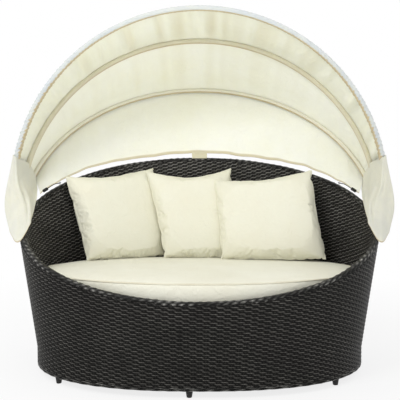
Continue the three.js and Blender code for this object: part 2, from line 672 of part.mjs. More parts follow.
function makeBows() {
  Object.entries(BOWS).forEach(([name, bow]) => {
    const bendTurns = LEG_STEP_SHARES.map((share) => share * archTurns[LEG_ARCH_STEPS]);
    const leg = [
      ...EYE_END_SHARES.map(([past, width]) => [past * EYE_WIDTH / 2, 0, width]),
      [bow.bendReach, 0, 1],
      [BOW_LEG, 0, 1],
      ...bendTurns.map((turn) => [BOW_LEG + bow.radius * sin(turn), turn, 1]),
    ].sort((a, b) => a[0] - b[0]);
    const right = leg.map(([out, turn, width]) => bowSection(bow, out, turn, width));
    const arch = archTurns.slice(LEG_ARCH_STEPS + 1, -LEG_ARCH_STEPS - 1).map((turn) => (
      bowSection(bow, BOW_LEG + bow.radius * sin(turn), turn, 1)));
    const left = leg.map(([out, turn, width]) => bowSection(bow, out, PI - turn, width)).reverse();
    const reach = EYE_THICKNESS / 2 + CUT_OVERRUN;
    const bores = [-1, 1].map((side) => barAlongX(
      side * eyeX(bow.layer) - reach, side * eyeX(bow.layer) + reach, PIVOT_Y, pivotHeight, boreDiameter));
    addPiece(`${name}_bow`, cut(loft([...right, ...arch, ...left], false), ...bores), 'frame');
  });
}

// Canopy cloth

const clothTurns = archTurns.slice(ARCH_CLOTH_START, ARCH_STEPS + 1 - ARCH_CLOTH_START);
const clothProud = BOW_TUBE / 2 + CLOTH_GAP;
const PANEL_ROWS = 6;
const FOLD_WAVES = 8;
const waviness = (turn) => cos(FOLD_WAVES * turn);

// A panel's inner face between two bows: straight from bow to bow, but for its sag and its folds.
function panelPoint(ahead, behind, turn, t) {
  const fromEdge = shift(archPoint(ahead, turn, clothProud), bowForward(ahead), -SEAM_GAP / 2);
  const toEdge = shift(archPoint(behind, turn, clothProud), bowForward(behind), SEAM_GAP / 2);
  const out = unit(blendPoints(archRadial(ahead, turn), archRadial(behind, turn), t));
  const span = Math.hypot(...minus(toEdge, fromEdge));
  const hollow = sin(PI * t) ** 2;
  const dip = hollow * (span * CLOTH_SAG_SHARE - CLOTH_FOLD * waviness(turn) * sin(turn));
  const inner = shift(blendPoints(fromEdge, toEdge, t), out, -dip);
  return { inner, outer: shift(inner, out, CLOTH_THICKNESS) };
}

function makePanel(name, ahead, behind) {
  const rows = steps(PANEL_ROWS + 1, (i) => (
    clothTurns.map((turn) => panelPoint(ahead, behind, turn, i / PANEL_ROWS))));
  const face = rows.map((row) => row.map((place) => place.outer));
  const back = rows.map((row) => row.map((place) => place.inner));
  addPiece(name, sheet(face, back), 'canopy');
}

const hemTurn = (turn) => {
  const first = clothTurns[0];
  const along = (turn - first) / (clothTurns[clothTurns.length - 1] - first);
  return mix(HEM_END_TURN, 180 - HEM_END_TURN, along) * RAD;
};
const hemPoint = (turn, rise) => rimPoint(turn, wallThickness / 2, -rise);

const WRAP_STEPS = 5;

// The rear panel goes round the rear bow's back, then down to a hem just above the rim.
function rearPanelRows(turn) {
  const bow = BOWS.rear;
  const centre = archPoint(bow, turn, 0);
  const radial = archRadial(bow, turn);
  const backward = bowForward(bow).map((value) => -value);
  const hem = hemPoint(hemTurn(turn), HEM_RISE + CLOTH_FOLD * waviness(turn) / 2);
  const down = minus(hem, centre);
  const project = (axis) => down.reduce((sum, value, i) => sum + value * axis[i], 0);
  const wrap = Math.atan2(-project(radial), project(backward));
  const around = (angle) => shift(radial.map((value) => value * cos(angle)), backward, sin(angle));
  const rounding = steps(WRAP_STEPS + 1, (i) => {
    const out = around(wrap * i / WRAP_STEPS);
    const start = i === 0 ? shift(centre, backward, SEAM_GAP / 2) : centre;
    return { inner: shift(start, out, clothProud), outer: shift(start, out, clothProud + CLOTH_THICKNESS) };
  });
  const out = around(wrap);
  const span = Math.hypot(...down);
  const hanging = steps(PANEL_ROWS, (i) => {
    const t = (i + 1) / PANEL_ROWS;
    const fold = CLOTH_FOLD * waviness(turn) * sin(turn);
    const dip = sin(PI * t) ** 2 * (span * CLOTH_SAG_SHARE / 2 - fold);
    const inner = shift(blendPoints(rounding[WRAP_STEPS].inner, hem, t), out, -dip);
    return { inner, outer: shift(inner, out, CLOTH_THICKNESS) };
  });
  return [...rounding, ...hanging];
}

function makeRearPanel() {
  const columns = clothTurns.map(rearPanelRows);
  const grid = (side) => columns.map((column) => column.map((place) => place[side]));
  addPiece('rear_panel', sheet(grid('outer'), grid('inner')), 'canopy');
}

// A sleeve goes round the inner side of its bow, from one angle to another past its outermost line.
const SLEEVES = {
  front: { from: 10, to: 270, segments: 6, gather: GATHER_DEPTH },
  middle: { from: 75, to: 285, segments: 5, gather: 0 },
  rear: { from: 65, to: 196, segments: 4, gather: 0 },
};

function makeSleeves() {
  Object.entries(SLEEVES).forEach(([name, { from, to, segments, gather }]) => {
    const bow = BOWS[name];
    const innerRadius = (BOW_TUBE / 2 + SEAT_GAP) / cos((to - from) * RAD / segments / 2);
    const sections = clothTurns.map((turn, i) => {
      const pleat = i % 2 ? gather : 0;
      const arc = (radius) => steps(segments + 1, (k) => {
        const around = mix(from, to, k / segments) * RAD;
        const centre = archPoint(bow, turn, radius * cos(around));
        return shift(centre, bowForward(bow), radius * sin(around));
      });
      return [...arc(innerRadius + CLOTH_THICKNESS + pleat), ...arc(innerRadius).reverse()];
    });
    addPiece(`${name}_sleeve`, loft(sections, false), 'sleeve');
  });
}

// Side flaps hang from the panels' ends over the pivots: rows down, as shares of the whole drop.
const FLAP_ROW_SHARES = [0, 0.05, 0.1, 0.34, 0.56, 0.76, 0.9, 1];
// How far each column's hem hangs below the pivot, from the front edge to the rear edge.
const FLAP_HEM_SHARES = [0.8, 0.97, 1, 0.97, 0.88, 0.75, 0.6, 0.45, 0.3, 0.18, 0.08, 0, -0.06];
const FLAP_BULGE_SHARE = 0.1;
const FLAP_TUCK_SHARE = 0.56;

function flapTop(column) {
  const turn = clothTurns[0];
  const front = column <= PANEL_ROWS;
  const place = front
    ? panelPoint(BOWS.front, BOWS.middle, turn, column / PANEL_ROWS)
    : panelPoint(BOWS.middle, BOWS.rear, turn, column / PANEL_ROWS - 1);
  const bow = front ? BOWS.front : BOWS.rear;
  const down = minus(bowPlace(bow, sin(turn), -cos(turn), 0), bowPlace(bow, 0, 0, 0));
  return { inner: shift(place.inner, down, SEAM_GAP), outer: shift(place.outer, down, SEAM_GAP) };
}

function flapColumn(column) {
  const top = flapTop(column);
  const back = column / (FLAP_HEM_SHARES.length - 1);
  const hemHeight = pivotHeight - FLAP_DROP * FLAP_HEM_SHARES[column];
  const hemY = PIVOT_Y + mix(-FLAP_FRONT_LEAD, FLAP_REAR_REACH, back);
  const bulge = frontBowRadius + FLAP_BULGE - back * BOW_TUBE;
  return FLAP_ROW_SHARES.map((t) => {
    if (t === 0) {
      return top;
    }
    const tuck = max(t - FLAP_TUCK_SHARE, 0) / (1 - FLAP_TUCK_SHARE);
    const wave = FLAP_FOLD * t * cos(column * PI / 2);
    const out = mix(top.inner[0], bulge, smooth(t / FLAP_BULGE_SHARE));
    const x = mix(out, pivotFaceX + FLAP_TIP_REACH, tuck ** 2) + wave;
    const inner = [x, mix(top.inner[1], hemY, t), mix(top.inner[2], hemHeight, t)];
    return { inner, outer: shift(inner, [1, 0, 0], CLOTH_THICKNESS) };
  });
}

function makeFlaps() {
  const columns = steps(FLAP_HEM_SHARES.length, flapColumn);
  const grid = (side) => columns.map((column) => column.map((place) => place[side]));
  const flap = sheet(grid('outer'), grid('inner'));
  SIDES.forEach(([side, sign]) => addPiece(`${side}_flap`, mirrored(flap, sign), 'canopy'));
}

// The tab hangs inside the hem and down the rim's inner face.
function makeTab() {
  const hemInset = wallThickness / 2 + CLOTH_THICKNESS + CLOTH_GAP + CLOTH_FOLD / 2;
  const rimInset = wallThickness + TAB_RIM_GAP;
  const rows = [
    [hemInset, HEM_RISE + TAB_DROP / 2],
    [hemInset, HEM_RISE / 2 + CLOTH_THICKNESS],
    [rimInset, CLOTH_THICKNESS],
    [rimInset, -TAB_DROP],
  ];
  const halfTurn = Math.asin(TAB_WIDTH / 2 / RIM_HALF_WIDTH);
  const turns = [-1, 0, 1].map((side) => PI / 2 - side * halfTurn);
  const grid = (lift) => rows.map(([inset, rise]) => (
    turns.map((turn) => rimPoint(turn, inset + lift, -rise))));
  addPiece('hem_tab', sheet(grid(CLOTH_THICKNESS), grid(0)), 'sleeve');
}

// Ties

// The cord's route from the ring to the toggle: way back from the toggle, rise over the rim, reach inwards.
const TIE_ROUTE_SHARES = [[0.84, 0.75, 0.5], [0.62, 1.15, 1], [0.4, 1.25, 1.1]];

function makeTies() {
  const tieReach = TOGGLE_DIAMETER / 2 + CLOTH_FOLD / 2 + CLOTH_GAP;
  const place = (turn, rise, inward) => new THREE.Vector3(
    ...rimPoint(turn * RAD, wallThickness / 2 + inward, -rise));
  const toggleAt = place(TIE_TOGGLE_TURN, TOGGLE_RISE, tieReach);
  const direction = place(TIE_RING_TURN, TOGGLE_RISE, tieReach).sub(toggleAt).normalize();
  const turnOver = new THREE.Quaternion().setFromUnitVectors(new THREE.Vector3(0, 1, 0), direction);
  const toggle = new THREE.CylinderGeometry(
    TOGGLE_DIAMETER / 2, TOGGLE_DIAMETER / 2, TOGGLE_LENGTH, BOLT_SIDES / 2);
  toggle.applyQuaternion(turnOver);
  toggle.translate(...toggleAt.toArray());
  const ringAt = place(TIE_RING_TURN, TIE_RING_DIAMETER / 2 + SEAT_GAP, 0);
  const ring = new THREE.TorusGeometry(
    (TIE_RING_DIAMETER - TIE_RING_WIRE) / 2, TIE_RING_WIRE / 2, TUBE_SIDES, BOLT_SIDES / 2);
  ring.applyQuaternion(new THREE.Quaternion().setFromUnitVectors(new THREE.Vector3(0, 0, 1), direction));
  ring.translate(...ringAt.toArray());
  const cordEnd = toggleAt.clone().addScaledVector(direction, TOGGLE_LENGTH / 2 + SEAT_GAP);
  const ringHole = (TIE_RING_DIAMETER - 2 * TIE_RING_WIRE - TIE_CORD_DIAMETER) / 2 - SEAT_GAP;
  const inRing = place(TIE_RING_TURN, TIE_RING_DIAMETER / 2 + SEAT_GAP + ringHole, 0);
  const knotEnd = inRing.clone().addScaledVector(direction, 2 * TIE_CORD_DIAMETER);
  const hangs = TIE_ROUTE_SHARES.map(([turn, rise, inward]) => place(
    mix(TIE_TOGGLE_TURN, TIE_RING_TURN, turn), rise * HEM_RISE, inward * tieReach));
  const route = [knotEnd, inRing, ...hangs];
  const squareIn = cordEnd.clone().addScaledVector(direction, 2 * TIE_CORD_DIAMETER);
  const path = new THREE.CatmullRomCurve3([...route, squareIn, cordEnd]);
  const round = new THREE.Shape().absarc(0, 0, TIE_CORD_DIAMETER / 2, 0, 2 * PI);
  const cord = new THREE.ExtrudeGeometry(round, {
    steps: TIE_STEPS, curveSegments: TIE_ARC_STEPS, bevelEnabled: false, extrudePath: path });
  const bare = cord.clone();
  bare.deleteAttribute('normal');
  bare.deleteAttribute('uv');
  const whole = mergeVertices(bare, 1e-3);
  const ringWhole = fromManifold(toManifold(ring));
  SIDES.forEach(([side, sign]) => {
    addPiece(`${side}_tie_cord`, mirrored(whole, sign), 'black');
    addPiece(`${side}_tie_ring`, mirrored(ringWhole, sign), 'steel');
    addPiece(`${side}_toggle`, mirrored(fromManifold(toManifold(toggle)), sign), 'black');
  });
}

makeRings();
makeUprights();
makeCrossbars();
makeSlats();
makeDeck();
makeFeet();
makeSkins();
makeRimWrap();
makeBaseBand();
makeSeatCushion();
makePillows();
makePivots();
makeBows();
makePanel('front_panel', BOWS.front, BOWS.middle);
makePanel('middle_panel', BOWS.middle, BOWS.rear);
makeRearPanel();
makeSleeves();
makeFlaps();
makeTab();
makeTies();

export default model;
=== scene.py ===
# Outdoor daybed with a folding canopy: the weave, cushions, cloth and finishes, built round its frame.
# Metres, +Z up, and the front faces -Y.

import math

import bpy
import numpy as np
from bpy.props import FloatProperty, FloatVectorProperty, IntProperty, PointerProperty
from bpy.types import Operator, Panel, PropertyGroup
from mathutils import Matrix, Vector
from mathutils.bvhtree import BVHTree


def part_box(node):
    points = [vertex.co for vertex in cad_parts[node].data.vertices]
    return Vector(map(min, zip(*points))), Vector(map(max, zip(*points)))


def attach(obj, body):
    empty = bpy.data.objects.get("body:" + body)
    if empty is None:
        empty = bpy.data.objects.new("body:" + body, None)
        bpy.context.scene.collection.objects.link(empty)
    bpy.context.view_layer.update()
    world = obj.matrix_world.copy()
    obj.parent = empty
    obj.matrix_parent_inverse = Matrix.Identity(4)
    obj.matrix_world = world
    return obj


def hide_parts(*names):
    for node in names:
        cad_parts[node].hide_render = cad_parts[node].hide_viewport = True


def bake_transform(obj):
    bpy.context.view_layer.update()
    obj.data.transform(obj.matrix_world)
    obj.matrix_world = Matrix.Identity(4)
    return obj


bl_info = {
    "name": "Woven daybed with folding canopy",
    "version": (1, 0, 0),
    "blender": (4, 5, 0),
    "location": "3D View > Sidebar > Daybed",
    "description": "Dresses the daybed's frame with its weave, cushions and canopy cloth",
    "category": "Object",
}

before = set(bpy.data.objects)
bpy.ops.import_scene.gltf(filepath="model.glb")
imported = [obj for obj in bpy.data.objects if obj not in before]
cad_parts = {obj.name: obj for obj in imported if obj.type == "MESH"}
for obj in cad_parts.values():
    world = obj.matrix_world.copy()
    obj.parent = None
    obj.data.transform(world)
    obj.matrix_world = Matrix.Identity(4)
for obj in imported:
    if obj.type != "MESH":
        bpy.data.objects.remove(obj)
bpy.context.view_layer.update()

# Tub: the plan and the rim line that the frame's rings follow
TUB_Y = -0.120
RIM_HALF_WIDTH = 0.860
RIM_HALF_DEPTH = 0.585
BASE_HALF_WIDTH = 0.772
BASE_HALF_DEPTH = 0.525
BASE_ROUNDNESS = 2.35
RIM_MIDDLE_HEIGHT = 0.704
RIM_HALF_RISE = 0.288
FOOT_HEIGHT = 0.030
SKIRT_SHARE = 0.14
WALL_THICKNESS = 0.0336

# Seat planes
SEAT_FRONT_HEIGHT = 0.482
SEAT_FRONT_Y = -0.500
SEAT_RAKE = math.radians(2.5)
CUSHION_THICKNESS = 0.130
CUSHION_WALL_GAP = 0.012
CUSHION_EDGE_DRAW = 0.022
CUSHION_CROWN = 0.014

# Canopy: the bows' pivots, radii and angles
PIVOT_Y = -0.020
PIVOT_Z = 0.688
BOW_LEG = 0.105
BOW_TUBE = 0.022
BOWS = {
    "front": (0.924, math.radians(90.7)),
    "middle": (0.892, math.radians(69.3)),
    "rear": (0.892, math.radians(44.6)),
}
CLOTH_THICKNESS = 0.002
CLOTH_PROUD = BOW_TUBE / 2 + 0.0009 + CLOTH_THICKNESS / 2
CLOTH_START = math.radians(12)
CLOTH_END = math.radians(168)
HEM_START = math.radians(17)
HEM_END = math.radians(163)
HEM_RISE = 0.020


# Settings that a user would change

class WeaveSettings(PropertyGroup):
    stakes: IntProperty(name="Stakes", description="Upright strands round the tub, an even count",
                        default=160, min=40, max=240, step=2)
    pitch: FloatProperty(name="Weaver pitch", description="Height of one woven row",
                         default=0.0092, unit="LENGTH")
    strand_width: FloatProperty(name="Strand width", description="Width of a flat strand",
                                default=0.0095, unit="LENGTH")
    strand_thickness: FloatProperty(name="Strand thickness", description="Thickness of a flat strand",
                                    default=0.0016, unit="LENGTH")
    swing: FloatProperty(name="Swing", description="How far a weaver swings in and out past the stakes",
                         default=0.0021, unit="LENGTH")
    wraps: IntProperty(name="Rim wraps", description="Turns of the strand that binds the rim", default=380)
    ridge: FloatProperty(name="Wrap ridge", description="How proud each turn of the wrap stands",
                         default=0.0030, unit="LENGTH")


class CushionSettings(PropertyGroup):
    seat_voxel: FloatProperty(name="Seat mesh size", description="Cell of the seat cushion's cloth mesh",
                              default=0.011, unit="LENGTH")
    pillow_voxel: FloatProperty(name="Pillow mesh size", description="Cell of a pillow's cloth mesh",
                                default=0.006, unit="LENGTH")
    pressure: FloatProperty(name="Filling", description="Pressure that swells the cushions", default=4.0)
    pillow_thickness: FloatProperty(name="Pillow thickness", description="Thickness before it swells",
                                    default=0.112, unit="LENGTH")
    piping: FloatProperty(name="Piping", description="Thickness of the cord in the cushion's edge",
                          default=0.0085, unit="LENGTH")


class CanopySettings(PropertyGroup):
    sag: FloatProperty(name="Sag", description="Sag between two bows, as a share of the span",
                       default=0.04, subtype="FACTOR")
    fold: FloatProperty(name="Fold depth", description="Depth of the large folds", default=0.007,
                        unit="LENGTH")
    gather: FloatProperty(name="Gather depth", description="Depth of the front sleeve's pleats",
                          default=0.0044, unit="LENGTH")


def colour(name, description, default):
    return FloatVectorProperty(name=name, description=description, default=default, subtype="COLOR",
                               size=3, min=0, max=1)


class ColourSettings(PropertyGroup):
    # The strands' tones paint their light: the dark tone is also painted shade in the weave's recesses and
    # along the strands' edges, and the light tones are painted highlights on the proud crowns of the outer
    # weave, the lining and the rim's binding
    strand: colour("Strand", "Woven strands", (0.0040, 0.0038, 0.0033))
    strand_highlight: colour("Strand, light", "The paler of the strands", (0.195, 0.188, 0.170))
    lining_highlight: colour("Lining, light", "The paler strands inside the tub", (0.50, 0.485, 0.445))
    binding_highlight: colour("Binding, light", "The crowns of the rim's binding", (0.56, 0.55, 0.51))
    canopy: colour("Canopy", "Canopy cloth", (0.93, 0.94, 0.84))
    # The front panel is the canopy's own cloth, coloured darker as painted shade
    canopy_front_shaded: colour("Canopy, front", "Cloth of the front panel", (0.89, 0.90, 0.78))
    canopy_shade: colour("Canopy, shaded", "Canopy cloth in its folds", (0.84, 0.82, 0.66))
    sleeve: colour("Sleeve", "Cloth round the middle bow", (0.64, 0.60, 0.45))
    sleeve_rear: colour("Rear sleeve", "Cloth round the rear bow", (0.82, 0.79, 0.65))
    # Seam: the tone of the canopy's sewn edges, and also the painted shade in the panels' fold hollows,
    # along the rear hem and along the sleeves' seams and pleats
    seam: colour("Seam", "Sewn edges of the canopy", (0.56, 0.47, 0.30))
    # The flaps are the canopy's own cloth, coloured far darker as painted shade
    flap: colour("Flap", "Cloth of the side flaps", (0.66, 0.66, 0.58))
    front_sleeve: colour("Front sleeve", "Cloth round the front bow", (0.57, 0.61, 0.63))
    cushion: colour("Cushion", "Seat cushion", (0.88, 0.87, 0.75))
    pillow: colour("Pillow", "Pillows", (0.82, 0.81, 0.68))
    # Cushion, shaded: a darker cushion tone in broad patches on the cushions, and the piping's own colour,
    # which is painted shade
    cushion_shade: colour("Cushion, shaded", "Cushion cloth where it is handled", (0.80, 0.775, 0.63))
    powder: colour("Frame", "Powder coat of the hidden frame", (0.024, 0.019, 0.016))
    bow: colour("Bows", "Satin aluminium", (0.55, 0.56, 0.57))
    plastic: colour("Plastic", "Black moulded plastic", (0.012, 0.012, 0.012))
    steel: colour("Steel", "Brushed steel", (0.58, 0.58, 0.59))
    cord: colour("Cord", "Braided tie cord", (0.010, 0.010, 0.011))


# Small helpers for meshes

# Too small to show: they keep a length that may be zero from dividing another
TINY = 1e-9
TINIEST = 1e-12


def only(obj):
    bpy.ops.object.select_all(action="DESELECT")
    obj.select_set(True)
    bpy.context.view_layer.objects.active = obj


def start(name, add, **options):
    """Adds a primitive with nothing else selected, and names it."""
    bpy.ops.object.select_all(action="DESELECT")
    add(**options)
    obj = bpy.context.object
    obj.name = name
    obj.data.name = name
    return obj


def read_points(obj):
    points = np.empty(len(obj.data.vertices) * 3)
    obj.data.vertices.foreach_get("co", points)
    return points.reshape(-1, 3)


def write_points(obj, points):
    obj.data.vertices.foreach_set("co", np.asarray(points, float).ravel())
    obj.data.update()


def write_attribute(obj, name, values):
    attribute = obj.data.attributes.new(name, "FLOAT", "POINT")
    attribute.data.foreach_set("value", np.asarray(values, np.float32))


def read_attribute(obj, name):
    values = np.empty(len(obj.data.vertices), np.float32)
    obj.data.attributes[name].data.foreach_get("value", values)
    return values


def edit_points(obj, mask):
    """Opens edit mode with only the masked points selected."""
    only(obj)
    bpy.ops.object.mode_set(mode="EDIT")
    bpy.ops.mesh.select_mode(type="VERT")
    bpy.ops.mesh.select_all(action="DESELECT")
    bpy.ops.object.mode_set(mode="OBJECT")
    obj.data.vertices.foreach_set("select", np.asarray(mask, bool))
    bpy.ops.object.mode_set(mode="EDIT")


def add_modifier(obj, kind, **settings):
    """Adds a modifier with these settings and applies it."""
    only(obj)
    modifier = obj.modifiers.new(kind.title(), kind)
    for name, value in settings.items():
        setattr(modifier, name, value)
    bpy.ops.object.modifier_apply(modifier=modifier.name)


def smooth_shade(obj, angle=None):
    only(obj)
    if angle is None:
        bpy.ops.object.shade_smooth()
    else:
        bpy.ops.object.shade_smooth_by_angle(angle=angle)


def paint(obj, material):
    obj.data.materials.clear()
    obj.data.materials.append(bpy.data.materials[material])


def dress(obj, material, body="root", stands_for=()):
    """Gives a finished piece its material, its body and the solids that it stands for."""
    paint(obj, material)
    if body:
        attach(obj, body)
    if stands_for:
        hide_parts(*stands_for)


def share_step(values):
    """Eases from 0 to 1."""
    held = np.clip(values, 0, 1)
    return held * held * (3 - 2 * held)


def mix(a, b, share):
    return a + (b - a) * share


# The tub's wall and seat as formulas

TURN_STEPS = 720


def turn_at(share):
    """The angle of the plan at a share of the way round it, measured along the rim."""
    turns = np.linspace(0, 2 * np.pi, TURN_STEPS + 1)
    middles = (turns[1:] + turns[:-1]) / 2
    lengths = np.hypot(RIM_HALF_WIDTH * np.sin(middles), RIM_HALF_DEPTH * np.cos(middles))
    along = np.concatenate([[0], np.cumsum(lengths)])
    return np.interp(np.mod(share, 1), along / along[-1], turns)


def plan_point(turn, half_width, half_depth, roundness):
    heading = np.arctan2(RIM_HALF_DEPTH * np.sin(turn), RIM_HALF_WIDTH * np.cos(turn))
    across = np.abs(np.cos(heading) / half_width) ** roundness
    along = np.abs(np.sin(heading) / half_depth) ** roundness
    reach = (across + along) ** (-1 / roundness)
    return np.stack([reach * np.cos(heading), reach * np.sin(heading)], -1)


def plan_normal(turn):
    normal = np.stack([np.cos(turn) / RIM_HALF_WIDTH, np.sin(turn) / RIM_HALF_DEPTH], -1)
    return normal / np.linalg.norm(normal, axis=-1, keepdims=True)


def rim_top(turn):
    return RIM_MIDDLE_HEIGHT + RIM_HALF_RISE * np.sin(turn)


def wall_point(turn, height, inset):
    """A point of the wall's outer line at a height, moved in by an inset measured square to the wall."""
    turn, height, inset = np.broadcast_arrays(turn, height, inset)
    level = np.clip((height - FOOT_HEIGHT) / (rim_top(turn) - FOOT_HEIGHT), 0, 1)
    flare = np.maximum(level - SKIRT_SHARE, 0) / (1 - SKIRT_SHARE)
    base = plan_point(turn, BASE_HALF_WIDTH, BASE_HALF_DEPTH, BASE_ROUNDNESS)
    rim = plan_point(turn, RIM_HALF_WIDTH, RIM_HALF_DEPTH, 2)
    rise = (rim_top(turn) - FOOT_HEIGHT) * (1 - SKIRT_SHARE)
    lean = np.linalg.norm(rim - base, axis=-1) / rise
    plan = mix(base, rim, flare[..., None])
    plan = plan - plan_normal(turn) * (inset * np.hypot(1, lean))[..., None]
    return np.stack([plan[..., 0], plan[..., 1] + TUB_Y, height], -1)


def rim_point(turn, inset, drop):
    return wall_point(turn, rim_top(turn) - drop, inset)


def seat_height(tub_y, drop):
    return SEAT_FRONT_HEIGHT - math.tan(SEAT_RAKE) * (tub_y - SEAT_FRONT_Y) - drop


def seat_point(turn, inset, drop):
    point = wall_point(turn, seat_height(0, drop) + 0 * turn, inset)
    for _ in range(4):
        point = wall_point(turn, seat_height(point[..., 1] - TUB_Y, drop), inset)
    return point


# Weave: the strand's section, then how the strands pass each other

STRAND_EDGE_SHARE = 0.05
STRAND_BACK_SHARE = 0.92
WELD_REACH = 0.00002


def strand_field(name, cells, strands, breaks, profile):
    """A flat field of strands: each runs along X, one unit a crossing, and they lie one unit apart in Y.
    breaks are the places of a crossing's sections, and profile the section's points in Y and Z."""
    obj = start(name, bpy.ops.mesh.primitive_circle_add, vertices=len(profile), radius=1)
    write_points(obj, [(breaks[0], y, z) for y, z in profile])
    only(obj)
    bpy.ops.object.mode_set(mode="EDIT")
    bpy.ops.mesh.select_all(action="SELECT")
    for near, far in zip(breaks, [*breaks[1:], breaks[0] + 1]):
        bpy.ops.mesh.extrude_region_move(TRANSFORM_OT_translate={"value": (far - near, 0, 0)})
    bpy.ops.object.mode_set(mode="OBJECT")
    add_modifier(obj, "ARRAY", count=cells, use_relative_offset=False, use_constant_offset=True,
                 constant_offset_displace=(1, 0, 0), use_merge_vertices=True, merge_threshold=0.01)
    add_modifier(obj, "ARRAY", count=strands, use_relative_offset=False, use_constant_offset=True,
                 constant_offset_displace=(0, 1, 0))
    return obj


def flat_profile(width, thickness, crowned):
    """A flat strand's section, with its face a little crowned."""
    half = width / 2
    rear = -thickness / 2
    edge = thickness * STRAND_EDGE_SHARE
    face = [(-half, edge), (half, edge)]
    if crowned:
        face.insert(1, (0, thickness / 2))
    return [*face, (half * STRAND_BACK_SHARE, rear), (-half * STRAND_BACK_SHARE, rear)]


def trim_and_close(obj, above, sides):
    """Cuts the strands off where the mask says, joins the seam and caps the cut ends."""
    edit_points(obj, above)
    bpy.ops.mesh.delete(type="VERT")
    bpy.ops.mesh.select_all(action="SELECT")
    bpy.ops.mesh.remove_doubles(threshold=WELD_REACH)
    bpy.ops.mesh.select_all(action="SELECT")
    bpy.ops.mesh.fill_holes(sides=sides)
    bpy.ops.mesh.select_all(action="SELECT")
    bpy.ops.mesh.normals_make_consistent(inside=False)
    bpy.ops.object.mode_set(mode="OBJECT")
    smooth_shade(obj)


# Where the strands start, split and stand, and how far below the rim's top they are cut off
WEAVE_START_RISE = 0.016
OUTER_SPLIT_RISE = 0.356
INNER_START_RISE = 0.308
OUTER_WEAVE_INSET = 0.0028
INNER_WEAVE_INSET = 0.0310
RIM_COVER = 0.012

# A weaver's flat part at a crossing, and a stake's section and its swing against the weavers'
WEAVER_FLAT_SHARE = 0.28
STAKE_SECTION = 0.8
STAKE_SWING_SHARE = 0.26

# How far up its section a strand has its full painted highlight, the share of that highlight left on its
# edges, which paints them in shade, and the share on a stake's face
CROWN_SHARE = 0.42
EDGE_HIGHLIGHT = 0.12
STAKE_HIGHLIGHT = 0.25

# After how many strands the tones repeat, and how many crossings a length of strand spans
ROW_TONES = 97
STAKE_TONES = 89
WRAP_TONES = 83
STRETCH_CROSSINGS = 9
STRETCH_TONE_STEP = 0.13


def make_weavers(weave, name, first_row, rows, inset, face):
    """Flat strands that run round the tub, over one stake and under the next."""
    width = weave.strand_width / weave.pitch
    profile = flat_profile(width, weave.strand_thickness, True)
    breaks = [WEAVER_FLAT_SHARE, 1 - WEAVER_FLAT_SHARE]
    obj = strand_field(name, weave.stakes, rows, breaks, profile)
    x, y, z = read_points(obj).T
    row = np.rint(y)
    swing = np.where(np.rint(x + row) % 2 < 0.5, weave.swing, -weave.swing)
    base = first_row + row * weave.pitch
    turn = turn_at(x / weave.stakes)
    height = base + (y - row) * weave.pitch
    write_points(obj, wall_point(turn, height, inset - face * (swing + z)))
    # Painted light: the outward floats get a painted highlight along their crowns, and their edges and the
    # floats that pass in get painted shade
    crown = np.clip(z / weave.strand_thickness / CROWN_SHARE, 0, 1)
    write_attribute(obj, "proud", (0.5 + swing / weave.swing / 2) * mix(EDGE_HIGHLIGHT, 1, crown))
    stretch = np.rint(x / STRETCH_CROSSINGS) * STRETCH_TONE_STEP
    write_attribute(obj, "strand", (row + first_row / weave.pitch) % ROW_TONES + stretch)
    trim_and_close(obj, base > rim_top(turn) - RIM_COVER, len(profile))
    return obj


def make_stakes(weave, name, first_row, rows, inset, face):
    """The upright strands that the weavers pass."""
    width = weave.strand_width / STAKE_SECTION
    profile = flat_profile(STAKE_SECTION, weave.strand_thickness, False)
    obj = strand_field(name, rows, weave.stakes, [0], profile)
    y, x, z = read_points(obj).T
    stake = np.rint(x)
    swing = np.where(np.rint(y + stake) % 2 < 0.5, -weave.swing, weave.swing) * STAKE_SWING_SHARE
    height = first_row + y * weave.pitch
    turn = turn_at(stake / weave.stakes)
    point = wall_point(turn, height, inset - face * (swing + z))
    normal = plan_normal(turn)
    sideways = np.stack([-normal[:, 1], normal[:, 0], 0 * turn], -1)
    write_points(obj, point + sideways * ((x - stake) * width)[:, None])
    # Painted light: a stake's face takes a little painted highlight, its back none
    write_attribute(obj, "proud", np.where(z > 0, STAKE_HIGHLIGHT, 0))
    write_attribute(obj, "strand", stake % STAKE_TONES)
    trim_and_close(obj, height > rim_top(turn) - RIM_COVER, len(profile))
    return obj


def ring_piece(name, around, sides, place):
    """A closed ring: place gives a point for each share of the way round and each angle of the section."""
    obj = start(name, bpy.ops.mesh.primitive_torus_add, major_segments=around, minor_segments=sides,
                major_radius=1, minor_radius=0.25)
    x, y, z = read_points(obj).T
    share = np.mod(np.arctan2(y, x) / (2 * np.pi), 1)
    roll = np.arctan2(z, np.hypot(x, y) - 1)
    write_points(obj, place(share, roll))
    smooth_shade(obj)
    return obj


# A binding's section, how unevenly its turns stand proud, and at which share of the turns' rate
BINDING_POWER = 0.8
UNEVEN_SHARE = 0.4
UNEVEN_RATE_SHARE = 0.29


def squared(values):
    """Makes a round section's points squarer."""
    return np.sign(values) * np.abs(values) ** BINDING_POWER


